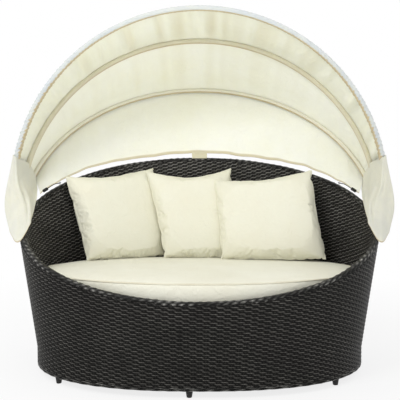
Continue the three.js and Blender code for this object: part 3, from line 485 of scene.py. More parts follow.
def bound_ring(name, depth, wraps, sections, sides, centre, half_width, half_height, slant):
    """A ring bound with a strand: centre gives its line, and the turns slant by so many pitches."""
    proud = []

    def place(share, roll):
        turn = turn_at(share)
        beat = np.cos(2 * np.pi * wraps * share * UNEVEN_RATE_SHARE + 2 * roll)
        uneven = 1 - UNEVEN_SHARE + UNEVEN_SHARE * beat
        wave = np.cos(2 * np.pi * wraps * share + slant * roll)
        ridge = depth * uneven * wave
        # Painted light: each turn's crown gets a painted highlight, strongest where the turn stands most
        # proud, and the grooves between turns get painted shade
        proud.append(uneven * (0.5 + 0.5 * wave) ** 2)
        across = (half_width - depth + ridge) * squared(np.cos(roll))
        rise = (half_height - depth + ridge) * squared(np.sin(roll))
        normal = plan_normal(turn)
        point = centre(turn)
        point[:, :2] += normal * across[:, None]
        point[:, 2] += rise
        return point
    obj = ring_piece(name, wraps * sections, sides, place)
    x, y, _ = read_points(obj).T
    share = np.mod(np.arctan2((y - TUB_Y) / RIM_HALF_DEPTH, x / RIM_HALF_WIDTH) / (2 * np.pi), 1)
    write_attribute(obj, "strand", np.floor(share * wraps) % WRAP_TONES)
    write_attribute(obj, "proud", proud[0])
    return obj


class DAYBED_OT_weave(Operator):
    """Weave the tub's outer and inner walls strand by strand"""
    bl_idname = "daybed.weave"
    bl_label = "Woven walls"

    def execute(self, context):
        weave = context.scene.daybed_weave
        first = FOOT_HEIGHT + WEAVE_START_RISE + weave.pitch / 2
        split_row = 2 * round(OUTER_SPLIT_RISE / weave.pitch / 2)
        last_row = math.ceil((RIM_MIDDLE_HEIGHT + RIM_HALF_RISE - first) / weave.pitch)
        split = first + split_row * weave.pitch
        hidden_rows = round(INNER_START_RISE / weave.pitch)
        inner_first = first + hidden_rows * weave.pitch
        inner_rows = last_row - hidden_rows
        parts = [
            make_weavers(weave, "weave_outer_lower", first, split_row, OUTER_WEAVE_INSET, 1),
            make_weavers(weave, "weave_outer_upper", split, last_row - split_row, OUTER_WEAVE_INSET, 1),
            make_stakes(weave, "stakes_outer", first - 2 * weave.pitch, last_row + 2, OUTER_WEAVE_INSET, 1),
            make_weavers(weave, "weave_inner", inner_first, inner_rows, INNER_WEAVE_INSET, -1),
            make_stakes(weave, "stakes_inner", inner_first, inner_rows, INNER_WEAVE_INSET, -1),
        ]
        for part in parts:
            inner = part.name.endswith("inner")
            dress(part, "Rattan lining" if inner else "Rattan strand")
        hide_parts("outer_skin")
        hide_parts("inner_skin")
        return {"FINISHED"}


# The rim's binding, and the border's two strands: each one's rise above the foot of the wall, its slant
# and the solid that it stands for
WRAP_HALF_HEIGHT = 0.0128
WRAP_SLANT = 3
TURN_SECTIONS = 6
BORDERS = {
    "base_border_lower": (0.0045, 2, ["base_band"]),
    "base_border_upper": (0.0125, -2, []),
}
BORDER_INSET = 0.0035
BORDER_HALF_WIDTH = 0.0045
BORDER_HALF_HEIGHT = 0.0044
BORDER_RIDGE_SHARE = 0.35


class DAYBED_OT_rims(Operator):
    """Bind the sloping rim with strand, and lay the twisted border round the foot of the wall"""
    bl_idname = "daybed.rims"
    bl_label = "Rim wrap and base border"

    def execute(self, context):
        weave = context.scene.daybed_weave
        wrap = bound_ring("rim_binding", weave.ridge, weave.wraps, TURN_SECTIONS, 14,
                          lambda turn: rim_point(turn, WALL_THICKNESS / 2, WRAP_HALF_HEIGHT),
                          WALL_THICKNESS / 2, WRAP_HALF_HEIGHT, WRAP_SLANT)
        dress(wrap, "Rattan binding", stands_for=["rim_wrap"])
        ridge = weave.ridge * BORDER_RIDGE_SHARE
        for name, (rise, slant, stands_for) in BORDERS.items():
            border = bound_ring(name, ridge, weave.wraps // 2, TURN_SECTIONS, 8,
                                lambda turn, rise=rise: wall_point(turn, FOOT_HEIGHT + rise, BORDER_INSET),
                                BORDER_HALF_WIDTH, BORDER_HALF_HEIGHT, slant)
            dress(border, "Rattan binding", stands_for=stands_for)
        return {"FINISHED"}


# The feet's taper, the angle past which an edge stays sharp, and the bevels of their lower and upper
# rims: each one's side, width and segments
FOOT_TAPER_SHARE = 0.72
FOOT_SHARP_ANGLE = math.radians(40)
FOOT_BEVELS = [(-1, 0.0022, 3), (1, 0.0012, 2)]


class DAYBED_OT_feet(Operator):
    """Turn the black tapered feet under the base ring"""
    bl_idname = "daybed.feet"
    bl_label = "Feet"

    def execute(self, context):
        for number in range(1, 7):
            low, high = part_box(f"foot_{number}")
            middle = (low + high) / 2
            half = (high.x - low.x) / 2
            foot = start(f"foot_stub_{number}", bpy.ops.mesh.primitive_cone_add, vertices=32,
                         radius1=half * FOOT_TAPER_SHARE, radius2=half, depth=high.z - low.z,
                         location=middle)
            bpy.ops.object.transform_apply(location=True)
            for side, width, segments in FOOT_BEVELS:
                heights = read_points(foot)[:, 2]
                edit_points(foot, (heights - middle.z) * side > 0)
                bpy.ops.mesh.bevel(offset=width, segments=segments, affect="EDGES")
                bpy.ops.object.mode_set(mode="OBJECT")
            smooth_shade(foot, FOOT_SHARP_ANGLE)
            dress(foot, "Black plastic", stands_for=[f"foot_{number}"])
        return {"FINISHED"}


# Cushion and pillows

CLOTH_FRAMES = 20


def swell(obj, voxel, pressure, cap, grow):
    """Fills a cushion: a fine even mesh, blown up as cloth, held within the cap, then subdivided."""
    add_modifier(obj, "REMESH", mode="VOXEL", voxel_size=voxel, adaptivity=0)
    rest = read_points(obj)
    scene = bpy.context.scene
    only(obj)
    cloth = obj.modifiers.new("Cloth", "CLOTH")
    cloth.settings.use_pressure = True
    cloth.settings.uniform_pressure_force = pressure
    cloth.settings.effector_weights.gravity = 0
    cloth.settings.shrink_min = -grow
    cloth.point_cache.frame_end = CLOTH_FRAMES
    for number in range(1, CLOTH_FRAMES + 1):
        scene.frame_set(number)
    bpy.ops.object.modifier_apply(modifier=cloth.name)
    scene.frame_set(1)
    moved = read_points(obj) - rest
    length = np.linalg.norm(moved, axis=1, keepdims=True)
    write_points(obj, rest + moved * np.minimum(1, cap / np.maximum(length, TINY)))
    add_modifier(obj, "SUBSURF", levels=1, render_levels=1)
    smooth_shade(obj)


# The seat cushion: the share of its surface that its underside takes, as its top does, and how its edge
# and its crown are rounded. Then how much it is drawn in before it swells, and how far a point may move
CUSHION_FACE_SHARE = 0.3
CUSHION_EDGE_SHARE = 0.15
CUSHION_EDGE_POWER = 6
CUSHION_CROWN_POWER = 2.6
CUSHION_SHRINK = 0.002
CUSHION_SWELL_CAP = 0.007


def cushion_outline(turn, draw):
    inset = WALL_THICKNESS + CUSHION_WALL_GAP + draw * CUSHION_EDGE_DRAW
    return seat_point(turn, inset, CUSHION_THICKNESS / 2)


def cushion_surface(turn, level, shrink):
    """The seat cushion from the middle of its underside, level 0, over its side to its crown, level 1."""
    face = CUSHION_FACE_SHARE
    top = level > 1 - face
    rise = np.clip((level - face) / (1 - 2 * face), 0, 1)
    out = np.where(level < face, level / face, np.where(top, (1 - level) / face, 1))
    drawn = CUSHION_EDGE_SHARE * np.abs(2 * rise - 1) ** CUSHION_EDGE_POWER
    edge = cushion_outline(turn, drawn + shrink / CUSHION_EDGE_DRAW)
    x = edge[:, 0] * out
    tub_y = (edge[:, 1] - TUB_Y) * out
    crown = np.where(top, CUSHION_CROWN * (1 - out ** CUSHION_CROWN_POWER), 0)
    z = seat_height(tub_y, CUSHION_THICKNESS * (1 - rise)) + crown + shrink * (1 - 2 * rise)
    return np.stack([x, tub_y + TUB_Y, z], -1)


def sewn_line(cushion, probes, proud):
    """Draws a closed line of points on to a cushion's surface, and evens it out along its way."""
    mesh = cushion.data
    tree = BVHTree.FromPolygons([point.co for point in mesh.vertices],
                                [polygon.vertices[:] for polygon in mesh.polygons])
    found = [tree.find_nearest(Vector(probe)) for probe in probes]
    line = np.array([place + normal * proud for place, normal, _, _ in found])
    steps = range(-PIPING_EVEN_STEPS, PIPING_EVEN_STEPS + 1)
    return np.mean([np.roll(line, step, axis=0) for step in steps], axis=0)


# The piping: its steps, how many each way even it out, how far outside the cushion its probes start, and
# how proud it stands as a share of its radius
PIPING_STEPS = 360
PIPING_EVEN_STEPS = 5
PIPING_PROBE_REACH = 0.020
PIPING_PROUD_SHARE = 0.3


def make_piping(cushion, name, drop, side, radius):
    """Sews a piped edge on to the cushion, above its side or below it."""
    turns = turn_at(np.arange(PIPING_STEPS) / PIPING_STEPS)
    probes = cushion_outline(turns, -PIPING_PROBE_REACH / CUSHION_EDGE_DRAW)
    probes[:, 2] = seat_height(probes[:, 1] - TUB_Y, drop) + side * PIPING_PROBE_REACH
    line = sewn_line(cushion, probes, radius * PIPING_PROUD_SHARE)

    def place(share, roll):
        point = line[np.rint(share * PIPING_STEPS).astype(int) % PIPING_STEPS].copy()
        point[:, :2] += plan_normal(turn_at(share)) * (radius * np.cos(roll))[:, None]
        point[:, 2] += radius * np.sin(roll)
        return point
    piping = ring_piece(name, PIPING_STEPS, 10, place)
    dress(piping, "Piping cloth")


class DAYBED_OT_seat_cushion(Operator):
    """Fill the oval seat cushion and sew its piped edges"""
    bl_idname = "daybed.seat_cushion"
    bl_label = "Seat cushion"

    def execute(self, context):
        settings = context.scene.daybed_cushions
        cushion = start("seat_cushion_cloth", bpy.ops.mesh.primitive_uv_sphere_add, segments=144,
                        ring_count=72, radius=1)
        x, y, z = read_points(cushion).T
        level = np.arccos(np.clip(-z, -1, 1)) / np.pi
        write_points(cushion, cushion_surface(np.arctan2(y, x), level, CUSHION_SHRINK))
        swell(cushion, settings.seat_voxel, settings.pressure, CUSHION_SWELL_CAP, 0.0)
        dress(cushion, "Cushion cloth", stands_for=["seat_cushion"])
        make_piping(cushion, "piping_top", 0.0, 1, settings.piping / 2)
        make_piping(cushion, "piping_bottom", CUSHION_THICKNESS, -1, settings.piping / 2)
        return {"FINISHED"}


# Each pillow: its side, where the middle of its lower edge lies in the tub, its lift, turn and lean, how
# far the middle of its upper edge dips, and its corners from the lower left round to the upper left, as
# shares of its side
PILLOWS = {
    "left": (0.465, -0.406, 0.272, 0.0215, 30, 17, 0.004,
             [(-0.43, -0.52), (0.56, -0.54), (0.54, 0.545), (-0.56, 0.445)]),
    "middle": (0.465, 0.020, 0.285, 0.0265, 5, 19, 0.022,
               [(-0.45, -0.53), (0.44, -0.52), (0.36, 0.545), (-0.635, 0.50)]),
    "right": (0.500, 0.362, 0.160, 0.0250, -8, 21, 0.010,
              [(-0.51, -0.53), (0.56, -0.50), (0.41, 0.465), (-0.62, 0.34)]),
}

# How a pillow is drawn before it swells: the thickness of its edge, how far its sides and its lower edge
# bow out, where below zero, and how its filling falls off. Then its cuts, its growth and its cap
PILLOW_EDGE = 0.009
PILLOW_EDGE_DRAW = -0.012
PILLOW_BASE_DRAW = -0.022
PILLOW_FILL_POWER = 0.62
PILLOW_CUTS = 48
PILLOW_GROWTH = 0.035
PILLOW_SWELL_CAP = 0.026

# A pillow's seam: how far it stands out, its width, its half thickness, and the slots that find the edge
PILLOW_SEAM = 0.0045
SEAM_WIDTH = 0.012
SEAM_HALF_THICKNESS = 0.0045
SEAM_SLOTS = 720


def pillow_surface(points, side, thickness, dip, corners):
    """Draws a cube of points into a pillow: pinched along its edges, with its corners left long."""
    u, y, v = points.T
    half = side / 2
    draw_u = PILLOW_EDGE_DRAW / half * (1 - v * v) * np.abs(u)
    base_draw = np.where(v < 0, PILLOW_BASE_DRAW, dip)
    draw_v = base_draw / half * (1 - u * u) * np.abs(v)
    u_in, v_in = u * (1 - draw_u), v * (1 - draw_v)
    fill = ((1 - u ** 4) * (1 - v ** 4)) ** PILLOW_FILL_POWER
    lower = mix(np.array(corners[0]), np.array(corners[1]), (u_in[:, None] + 1) / 2)
    upper = mix(np.array(corners[3]), np.array(corners[2]), (u_in[:, None] + 1) / 2)
    flat = mix(lower, upper, (v_in[:, None] + 1) / 2) * side
    return np.stack([flat[:, 0], y * mix(PILLOW_EDGE, thickness, fill) / 2, flat[:, 1]], -1)


def sew_edge(obj):
    """Draws the seam out all round a pillow, where its two faces meet."""
    points = read_points(obj)
    angle = np.arctan2(points[:, 2], points[:, 0])
    reach = np.hypot(points[:, 0], points[:, 2])
    thin = np.abs(points[:, 1]) < PILLOW_EDGE
    slots = ((angle + np.pi) / (2 * np.pi) * SEAM_SLOTS).astype(int) % SEAM_SLOTS
    edge = np.zeros(SEAM_SLOTS)
    np.maximum.at(edge, slots, np.where(thin, reach, 0))
    narrow = np.exp(-(points[:, 1] / SEAM_HALF_THICKNESS) ** 2)
    near = share_step(1 - (edge[slots] - reach) / SEAM_WIDTH) * narrow
    outward = points * np.array([1, 0, 1]) / np.maximum(reach, TINY)[:, None]
    write_points(obj, points + outward * (near * PILLOW_SEAM)[:, None])


class DAYBED_OT_pillows(Operator):
    """Fill the three square pillows and lean them on the back wall"""
    bl_idname = "daybed.pillows"
    bl_label = "Pillows"

    def execute(self, context):
        settings = context.scene.daybed_cushions
        for name, (side, x, tub_y, lift, turn, lean, dip, corners) in PILLOWS.items():
            pillow = start(f"pillow_{name}_cloth", bpy.ops.mesh.primitive_cube_add, size=2)
            bpy.ops.object.mode_set(mode="EDIT")
            bpy.ops.mesh.select_all(action="SELECT")
            bpy.ops.mesh.subdivide(number_cuts=PILLOW_CUTS)
            bpy.ops.object.mode_set(mode="OBJECT")
            cube = read_points(pillow)
            write_points(pillow, pillow_surface(cube, side, settings.pillow_thickness, dip, corners))
            swell(pillow, settings.pillow_voxel, settings.pressure, PILLOW_SWELL_CAP, PILLOW_GROWTH)
            sew_edge(pillow)
            place = (
                Matrix.Translation((x, tub_y + TUB_Y, seat_height(tub_y, -lift)))
                @ Matrix.Rotation(math.radians(turn), 4, "Z")
                @ Matrix.Rotation(math.radians(-lean), 4, "X")
                @ Matrix.Translation((0, 0, side / 2))
            )
            pillow.data.transform(place)
            dress(pillow, "Pillow cloth", stands_for=[f"pillow_{name}"])
        return {"FINISHED"}


# Canopy cloth

def cloth_grid(name, columns, rows, place, size, seam_and_shade=None):
    """A sheet and its area: place gives a point and a blend share for each share across and down, or no
    share where the sheet rides on one body, size is its flat size, and the last gives each point its share
    of the seam's tone, which also paints the shade in fold hollows, along the rear hem and in pleats."""
    obj = start(name, bpy.ops.mesh.primitive_grid_add, x_subdivisions=columns, y_subdivisions=rows, size=1)
    x, y, _ = read_points(obj).T
    points, blend = place(x + 0.5, y + 0.5)
    write_points(obj, points)
    if blend is not None:
        write_attribute(obj, "blend", blend)
    write_attribute(obj, "seam_and_shade", seam_and_shade(x + 0.5, y + 0.5) if seam_and_shade else 0 * x)
    corners = np.empty(len(obj.data.loops) * 2)
    layer = obj.data.uv_layers[0]
    layer.data.foreach_get("uv", corners)
    layer.data.foreach_set("uv", (corners.reshape(-1, 2) * size).ravel())
    area = sum(polygon.area for polygon in obj.data.polygons)
    add_modifier(obj, "SOLIDIFY", thickness=CLOTH_THICKNESS, offset=0)
    smooth_shade(obj)
    return obj, area


def bend_with(obj, near, far, first, last):
    """Drops the share that its grid gave to each point, and bakes the sheet's place into its points. The
    two bodies that it is given are not used.
    """
    share = read_attribute(obj, "blend")
    obj.data.attributes.remove(obj.data.attributes["blend"])
    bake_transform(obj)


def hang(obj, finish, bodies, ends, stands_for):
    paint(obj, finish)
    bend_with(obj, *bodies, *ends)
    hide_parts(stands_for)


def bow_point(bow, turn, proud):
    radius, angle = BOWS[bow]
    out = BOW_LEG + (radius + proud) * np.sin(turn)
    return np.stack([(radius + proud) * np.cos(turn), PIVOT_Y + out * math.cos(angle),
                     PIVOT_Z + out * math.sin(angle)], -1)


def bow_out(bow, turn):
    angle = BOWS[bow][1]
    return np.stack([np.cos(turn), np.sin(turn) * math.cos(angle), np.sin(turn) * math.sin(angle)], -1)


def bow_forward(bow):
    angle = BOWS[bow][1]
    return np.array([0, -math.sin(angle), math.cos(angle)])


def unit(vectors):
    return vectors / np.linalg.norm(vectors, axis=-1, keepdims=True)


# The large folds along a bow, and the finer ones of the panels and above the rear hem: each one's rate,
# its share of the depth and its start
FOLD_WAVES = 8
FINE_FOLDS = [(23, 0.34, 1.3), (41, 0.32, 4.1), (67, 0.22, 2.2), (103, 0.09, 0.4)]
HEM_FOLDS = [(19, 0.30, 0.9), (33, 0.22, 2.6), (53, 0.15, 0.0)]

# How far the finer folds drift between two bows, how much their crowding changes along the bow, and half
# the gap between two panels on one bow
FOLD_DRIFT = 0.05
CROWDING = 0.35
SHARED_BOW_GAP = 0.0002


def folds_at(folds, turn):
    """The height of some folds at an angle along the bow, as a share of their depth."""
    return sum(level * np.cos(rate * turn + start_at) for rate, level, start_at in folds)


def cloth_folds(turn, share, depth, crowd):
    """Folds that fan from bow to bow: a few large ones, and finer ones where the cloth is gathered."""
    large = np.cos(FOLD_WAVES * turn) * np.sin(turn)
    drift = turn + FOLD_DRIFT * share * np.sin(5 * turn)
    fine = folds_at(FINE_FOLDS, drift)
    uneven = 1 - CROWDING + CROWDING * np.sin(3.3 * turn + 0.8)
    hollow = np.sin(np.pi * share)
    return depth * (hollow ** 2 * large + crowd * uneven * fine * hollow ** 0.7)


def panel_surface(ahead, behind, turn, share, settings, crowd):
    near = bow_point(ahead, turn, CLOTH_PROUD) - bow_forward(ahead) * SHARED_BOW_GAP
    far = bow_point(behind, turn, CLOTH_PROUD) + bow_forward(behind) * SHARED_BOW_GAP
    out = unit(mix(bow_out(ahead, turn), bow_out(behind, turn), share[:, None]))
    span = np.linalg.norm(far - near, axis=1)
    dip = np.sin(np.pi * share) ** 2 * span * settings.sag - cloth_folds(turn, share, settings.fold, crowd)
    return mix(near, far, share[:, None]) - out * dip[:, None]


# How crowded the front panel's finer folds are against the middle one's, the most painted shade that a
# fold's hollow takes, and up to which height of the folds
FRONT_CROWD = 3.2
FOLD_SHADE = 0.42
HOLLOW_HEIGHT = 0.30
PANEL_COLUMNS = 420
PANEL_ROWS = 36


def fold_shade(turn, crowd):
    """How much painted shade a fold's hollow takes, in the seam's tone, most near the bow's top."""
    hollow = HOLLOW_HEIGHT - folds_at(FINE_FOLDS, turn)
    return np.clip(FOLD_SHADE * crowd * hollow, 0, FOLD_SHADE) * np.sin(turn) ** 3


def make_panel(settings, name, ahead, behind, stands_for, bodies, crowd, size, finish):
    def place(across, down):
        turn = mix(CLOTH_START, CLOTH_END, across)
        return panel_surface(ahead, behind, turn, down, settings, crowd), 1 - down

    def seam_and_shade(across, down):
        turn = mix(CLOTH_START, CLOTH_END, across)
        # Painted shade in the fold hollows, fading towards the bows
        return fold_shade(turn, crowd / FRONT_CROWD) * np.sin(np.pi * down) ** 0.4
    panel, area = cloth_grid(name, PANEL_COLUMNS, PANEL_ROWS, place, size, seam_and_shade=seam_and_shade)
    ends = [bow_point(bow, np.pi / 2, 0) for bow in (behind, ahead)]
    hang(panel, finish, bodies, ends, stands_for)


# The rear panel: the share of it that is wrapped on the bow, where its hem starts, how thick the hem is
# and over which share it thickens, the hem's ripple, and its middle
WRAP_SHARE = 0.1
HEM_SHARE = 0.955
HEM_FOLD = 0.0016
HEM_FOLD_SHARE = 0.01
HEM_RIPPLE = 0.0016
HEM_MIDDLE = (0, 0.465, 1.012)

# How strongly that hem takes the seam's tone, as painted shade of the folded hem seen from inside, and over
# which share of the panel that tone comes in
HEM_SHADE = 0.75
HEM_SHADE_SHARE = 0.02


def rear_surface(turn, across, share, settings):
    """The rear panel: round the rear bow's back, then down to the hem above the rim."""
    centre = bow_point("rear", turn, 0)
    out = bow_out("rear", turn)
    back = -bow_forward("rear")
    hem_turn = mix(HEM_START, HEM_END, across)
    wave = np.cos(FOLD_WAVES * turn)
    hem_lift = HEM_RISE + settings.fold * wave / 2 + HEM_RIPPLE * np.cos(31 * turn + 0.7)
    hem = rim_point(hem_turn, WALL_THICKNESS / 2, -hem_lift)
    down = hem - centre
    wrap = np.arctan2(-np.sum(down * out, axis=1), down @ back)
    bend = np.clip(share / WRAP_SHARE, 0, 1)
    angle = wrap * bend
    around = out * np.cos(angle)[:, None] + back * np.sin(angle)[:, None]
    off = out * np.cos(wrap)[:, None] + back * np.sin(wrap)[:, None]
    drop = np.clip((share - WRAP_SHARE) / (1 - WRAP_SHARE), 0, 1)
    leaving = centre + off * CLOTH_PROUD
    span = np.linalg.norm(down, axis=1)
    large = wave * np.sin(turn) * np.sin(np.pi * drop) ** 2
    fine = folds_at(HEM_FOLDS, turn) * np.sin(np.pi * drop * 0.8)
    fold = settings.fold * (large + fine)
    dip = np.sin(np.pi * drop) ** 2 * span * settings.sag / 2 - fold * np.minimum(1, drop * 4)
    lip = HEM_FOLD * share_step((share - HEM_SHARE) / HEM_FOLD_SHARE)
    hanging = mix(leaving, hem, drop[:, None]) - off * (dip + lip)[:, None]
    bound = centre + around * CLOTH_PROUD + back * SHARED_BOW_GAP
    return np.where((share < WRAP_SHARE)[:, None], bound, hanging), 1 - share_step(drop)


class DAYBED_OT_canopy(Operator):
    """Hang the three canopy panels on their bows"""
    bl_idname = "daybed.canopy"
    bl_label = "Canopy panels"

    def execute(self, context):
        settings = context.scene.daybed_canopy
        make_panel(settings, "canopy_front_cloth", "front", "middle", "front_panel",
                   ("middle_bow", "front_bow"), FRONT_CROWD, (2.62, 0.42), "Shaded front panel cloth")
        make_panel(settings, "canopy_middle_cloth", "middle", "rear", "middle_panel",
                   ("rear_bow", "middle_bow"), 1.0, (2.60, 0.46), "Canopy cloth")

        def place(across, down):
            turn = mix(CLOTH_START, CLOTH_END, across)
            return rear_surface(turn, across, down, settings)

        def seam_and_shade(_, down):
            # Painted shade along the folded hem
            return share_step((down - HEM_SHARE) / HEM_SHADE_SHARE) * HEM_SHADE
        size = (2.56, 0.50)
        rear, area = cloth_grid("canopy_rear_cloth", 300, 64, place, size, seam_and_shade=seam_and_shade)
        ends = [HEM_MIDDLE, bow_point("rear", np.pi / 2, 0)]
        hang(rear, "Canopy cloth", ("root", "rear_bow"), ends, "rear_panel")
        return {"FINISHED"}


# Sleeves: from one angle to another past the bow's outermost line, the pleats, the finish, and the
# angles between which the cloth is doubled at its seams and takes the seam's tone, with painted shade along
# them
SLEEVES = {
    "front": (10, 270, 1.0, "Front sleeve cloth", [(132, 200)]),
    "middle": (24, 290, 0.0, "Sleeve cloth", [(24, 46), (150, 290)]),
    "rear": (24, 196, 0.0, "Rear sleeve cloth", [(24, 54), (146, 196)]),
}

# Degrees over which a seam's tone fades, and by which the pleats push the front sleeve's seam about, as
# painted shade in the pleats
SEAM_SOFTNESS = 6
SEAM_RUFFLE = 34

# How far the panels cover the middle bow's seams down the sides, and the ease that a sleeve is cut with
COVERED_SHARE = 0.7
SLEEVE_EASE = 1.04

# Where the sleeves start and end along their bows, their radius, and the columns of their grids
SLEEVE_START = math.radians(4)
SLEEVE_END = math.radians(176)
SLEEVE_RADIUS = BOW_TUBE / 2 + 0.0004 + CLOTH_THICKNESS / 2
PLEATED_COLUMNS = 1300
PLAIN_COLUMNS = 240

# The pleats that slant and those that don't, with the same three measures as the folds, the slant, and
# the share of their depth that they have at the bow's top
SLANTED_PLEATS = [(310, 1.0, 0.0), (197, 0.7, 1.9)]
STRAIGHT_PLEATS = [(83, 0.5, 0.4)]
PLEAT_SLANT = 0.012
TOP_PLEAT_SHARE = 0.15


def pleats_at(turn, around):
    return folds_at(SLANTED_PLEATS, turn + PLEAT_SLANT * around) + folds_at(STRAIGHT_PLEATS, turn)


def sleeve_surface(bow, turn, around, gather):
    """A sleeve round its bow, with slanting pleats that deepen down both sides."""
    sides = TOP_PLEAT_SHARE + (1 - TOP_PLEAT_SHARE) * np.cos(turn) ** 2
    proud = SLEEVE_RADIUS + gather * sides * (0.5 + 0.3 * pleats_at(turn, around))
    return (bow_point(bow, turn, 0) + bow_out(bow, turn) * (proud * np.cos(around))[:, None]
            + bow_forward(bow) * (proud * np.sin(around))[:, None])


def seam_share(degrees, seams):
    """How much of the cloth's tone is its seam's, at an angle round the bow: the seam's own tone with
    painted shade along it.
    """
    shares = [share_step((degrees - first) / SEAM_SOFTNESS) * share_step((last - degrees) / SEAM_SOFTNESS)
              for first, last in seams]
    return np.max(shares, axis=0)


class DAYBED_OT_sleeves(Operator):
    """Sew the sleeves round the bows"""
    bl_idname = "daybed.sleeves"
    bl_label = "Bow sleeves"

    def execute(self, context):
        gather = context.scene.daybed_canopy.gather
        for bow, shape in SLEEVES.items():
            self.sew(bow, gather, *shape)
        return {"FINISHED"}

    def sew(self, bow, gather, first, last, pleats, finish, seams):
        def place(across, round_bow):
            turn = mix(SLEEVE_START, SLEEVE_END, across)
            around = np.radians(mix(first, last, round_bow))
            return sleeve_surface(bow, turn, around, pleats * gather), None

        def seam_and_shade(across, round_bow):
            degrees = mix(first, last, round_bow)
            turn = mix(SLEEVE_START, SLEEVE_END, across)
            # Painted shade: the pleats carry the seam's tone out into their hollows down the front sleeve's
            # sides
            loose = pleats * np.cos(turn) ** 2
            ruffle = 0.6 + 0.4 * pleats_at(turn, np.radians(degrees))
            inside = np.minimum(degrees + SEAM_RUFFLE * loose * ruffle, seams[0][0] + SEAM_SOFTNESS)
            covered = COVERED_SHARE * np.cos(turn) ** 2 if bow == "middle" else 0
            return seam_share(np.maximum(degrees, inside), seams) * (1 - covered)
        width = (SLEEVE_END - SLEEVE_START) * BOWS[bow][0]
        length = math.radians(last - first) * SLEEVE_RADIUS
        size = (width * (SLEEVE_EASE + 0.1 * pleats), length * (SLEEVE_EASE + 0.2 * pleats))
        columns = PLEATED_COLUMNS if pleats else PLAIN_COLUMNS
        sleeve, area = cloth_grid(f"sleeve_{bow}_cloth", columns, 24, place, size, seam_and_shade=seam_and_shade)
        dress(sleeve, finish, f"{bow}_bow", [f"{bow}_sleeve"])


# The right flap as a net: columns from its outer rear edge round the front bow to its inner rear edge, and
# in each the points from the seam on its bow, over the pivot and the rim, to the hem
FLAP_NET = [
    [(0.887, 0.192, 0.908), (0.906, 0.168, 0.810), (0.908, 0.150, 0.745), (0.900, 0.140, 0.690)],
    [(0.887, 0.086, 0.978), (0.930, 0.072, 0.840), (0.940, 0.065, 0.745), (0.925, 0.045, 0.650)],
    [(0.919, -0.022, 1.003), (0.944, -0.036, 0.860), (0.951, -0.060, 0.742), (0.922, -0.110, 0.640)],
    [(0.906, -0.049, 0.996), (0.902, -0.064, 0.860), (0.872, -0.105, 0.745), (0.836, -0.285, 0.600)],
    [(0.893, -0.034, 0.986), (0.878, -0.047, 0.860), (0.838, -0.085, 0.765), (0.801, -0.240, 0.655)],
    [(0.868, 0.070, 0.960), (0.860, 0.030, 0.860), (0.842, -0.010, 0.790), (0.806, -0.125, 0.705)],
    [(0.860, 0.172, 0.893), (0.850, 0.140, 0.850), (0.838, 0.100, 0.822), (0.823, 0.048, 0.796)],
]

# How far the middle and the front bow turn for one turn of the rear bow, by the couplings of their joints,
# and so each column of the flap
MIDDLE_TURN = 1.638
FRONT_TURN = 2.142
FLAP_BOW_RATIOS = [1.0, MIDDLE_TURN, FRONT_TURN, FRONT_TURN, FRONT_TURN, MIDDLE_TURN, 1.0]

# The flap's folds: each one's rate across and down, its share of the ripple and its start. Then the
# ripple, and the step that finds which way the flap faces
FLAP_FOLDS = [(27, 2.2, 1.0, 0.0), (49, -3, 0.6, 1.1)]
FLAP_RIPPLE = 0.0045
FLAP_STEP = 0.004

# The shares down the flap over which its blend share falls from its column's ratio to none
FLAP_BOUND_SHARE = 0.36
FLAP_STILL_SHARE = 0.90

# The flap's flat size, the shares between which its hem's tone fades, and the ends of an upright line
# beside its pivot
FLAP_SIZE = (0.62, 0.44)
FLAP_HEM_SHARE = 0.008
FLAP_HEM_FADE = 0.012
FLAP_REACH = 0.9
FLAP_BEND_HEIGHTS = (0.6, 1.0)

# The hem tab: its size, its ease over the rim, and its inset and rise at shares of its length
TAB_SIZE = (0.090, 0.062)
TAB_EASE = 0.001
TAB_SHARES = [0, 0.34, 0.56, 1]
TAB_INSETS = [WALL_THICKNESS / 2 + 0.0064, WALL_THICKNESS / 2 + 0.0064, WALL_THICKNESS * 0.8,
              WALL_THICKNESS + 0.0016]
TAB_RISES = [0.032, 0.014, 0.004, -0.006]


def smooth_path(points, share):
    """A smooth curve through evenly spaced points, taken at shares of its length."""
    last = len(points) - 1
    place = np.clip(share, 0, 1) * last
    begin = np.minimum(place.astype(int), last - 1)
    t = (place - begin)[:, None]
    rows = np.arange(len(share))

    def pick(number):
        chosen = np.clip(number, 0, last)
        return points[chosen, rows] if points.ndim == 3 else points[chosen]
    before, near, far, after = (pick(begin + step) for step in (-1, 0, 1, 2))
    bend = (far - before) * t + (2 * before - 5 * near + 4 * far - after) * t ** 2
    return near + (bend + (3 * near - before - 3 * far + after) * t ** 3) / 2


def flap_net_point(across, down):
    columns = np.stack([smooth_path(np.array(column), down) for column in FLAP_NET])
    return smooth_path(columns, across)


def flap_surface(across, down):
    """A flap with soft folds that hang from its seam and deepen downwards."""
    point = flap_net_point(across, down)
    sideways = flap_net_point(across + FLAP_STEP, down) - flap_net_point(across - FLAP_STEP, down)
    downwards = flap_net_point(across, down + FLAP_STEP) - flap_net_point(across, down - FLAP_STEP)
    normal = unit(np.cross(downwards, sideways) + TINIEST)
    fold = sum(level * np.cos(sideways_rate * across + down_rate * down + start_at)
               for sideways_rate, down_rate, level, start_at in FLAP_FOLDS)
    depth = FLAP_RIPPLE * share_step(down / 0.5) * (1 - 0.5 * share_step((down - 0.75) / 0.25))
    ratio = np.interp(across, np.linspace(0, 1, len(FLAP_BOW_RATIOS)), FLAP_BOW_RATIOS)
    follow = 1 - share_step((down - FLAP_BOUND_SHARE) / (FLAP_STILL_SHARE - FLAP_BOUND_SHARE))
    return point + normal * (fold * depth)[:, None], ratio * follow


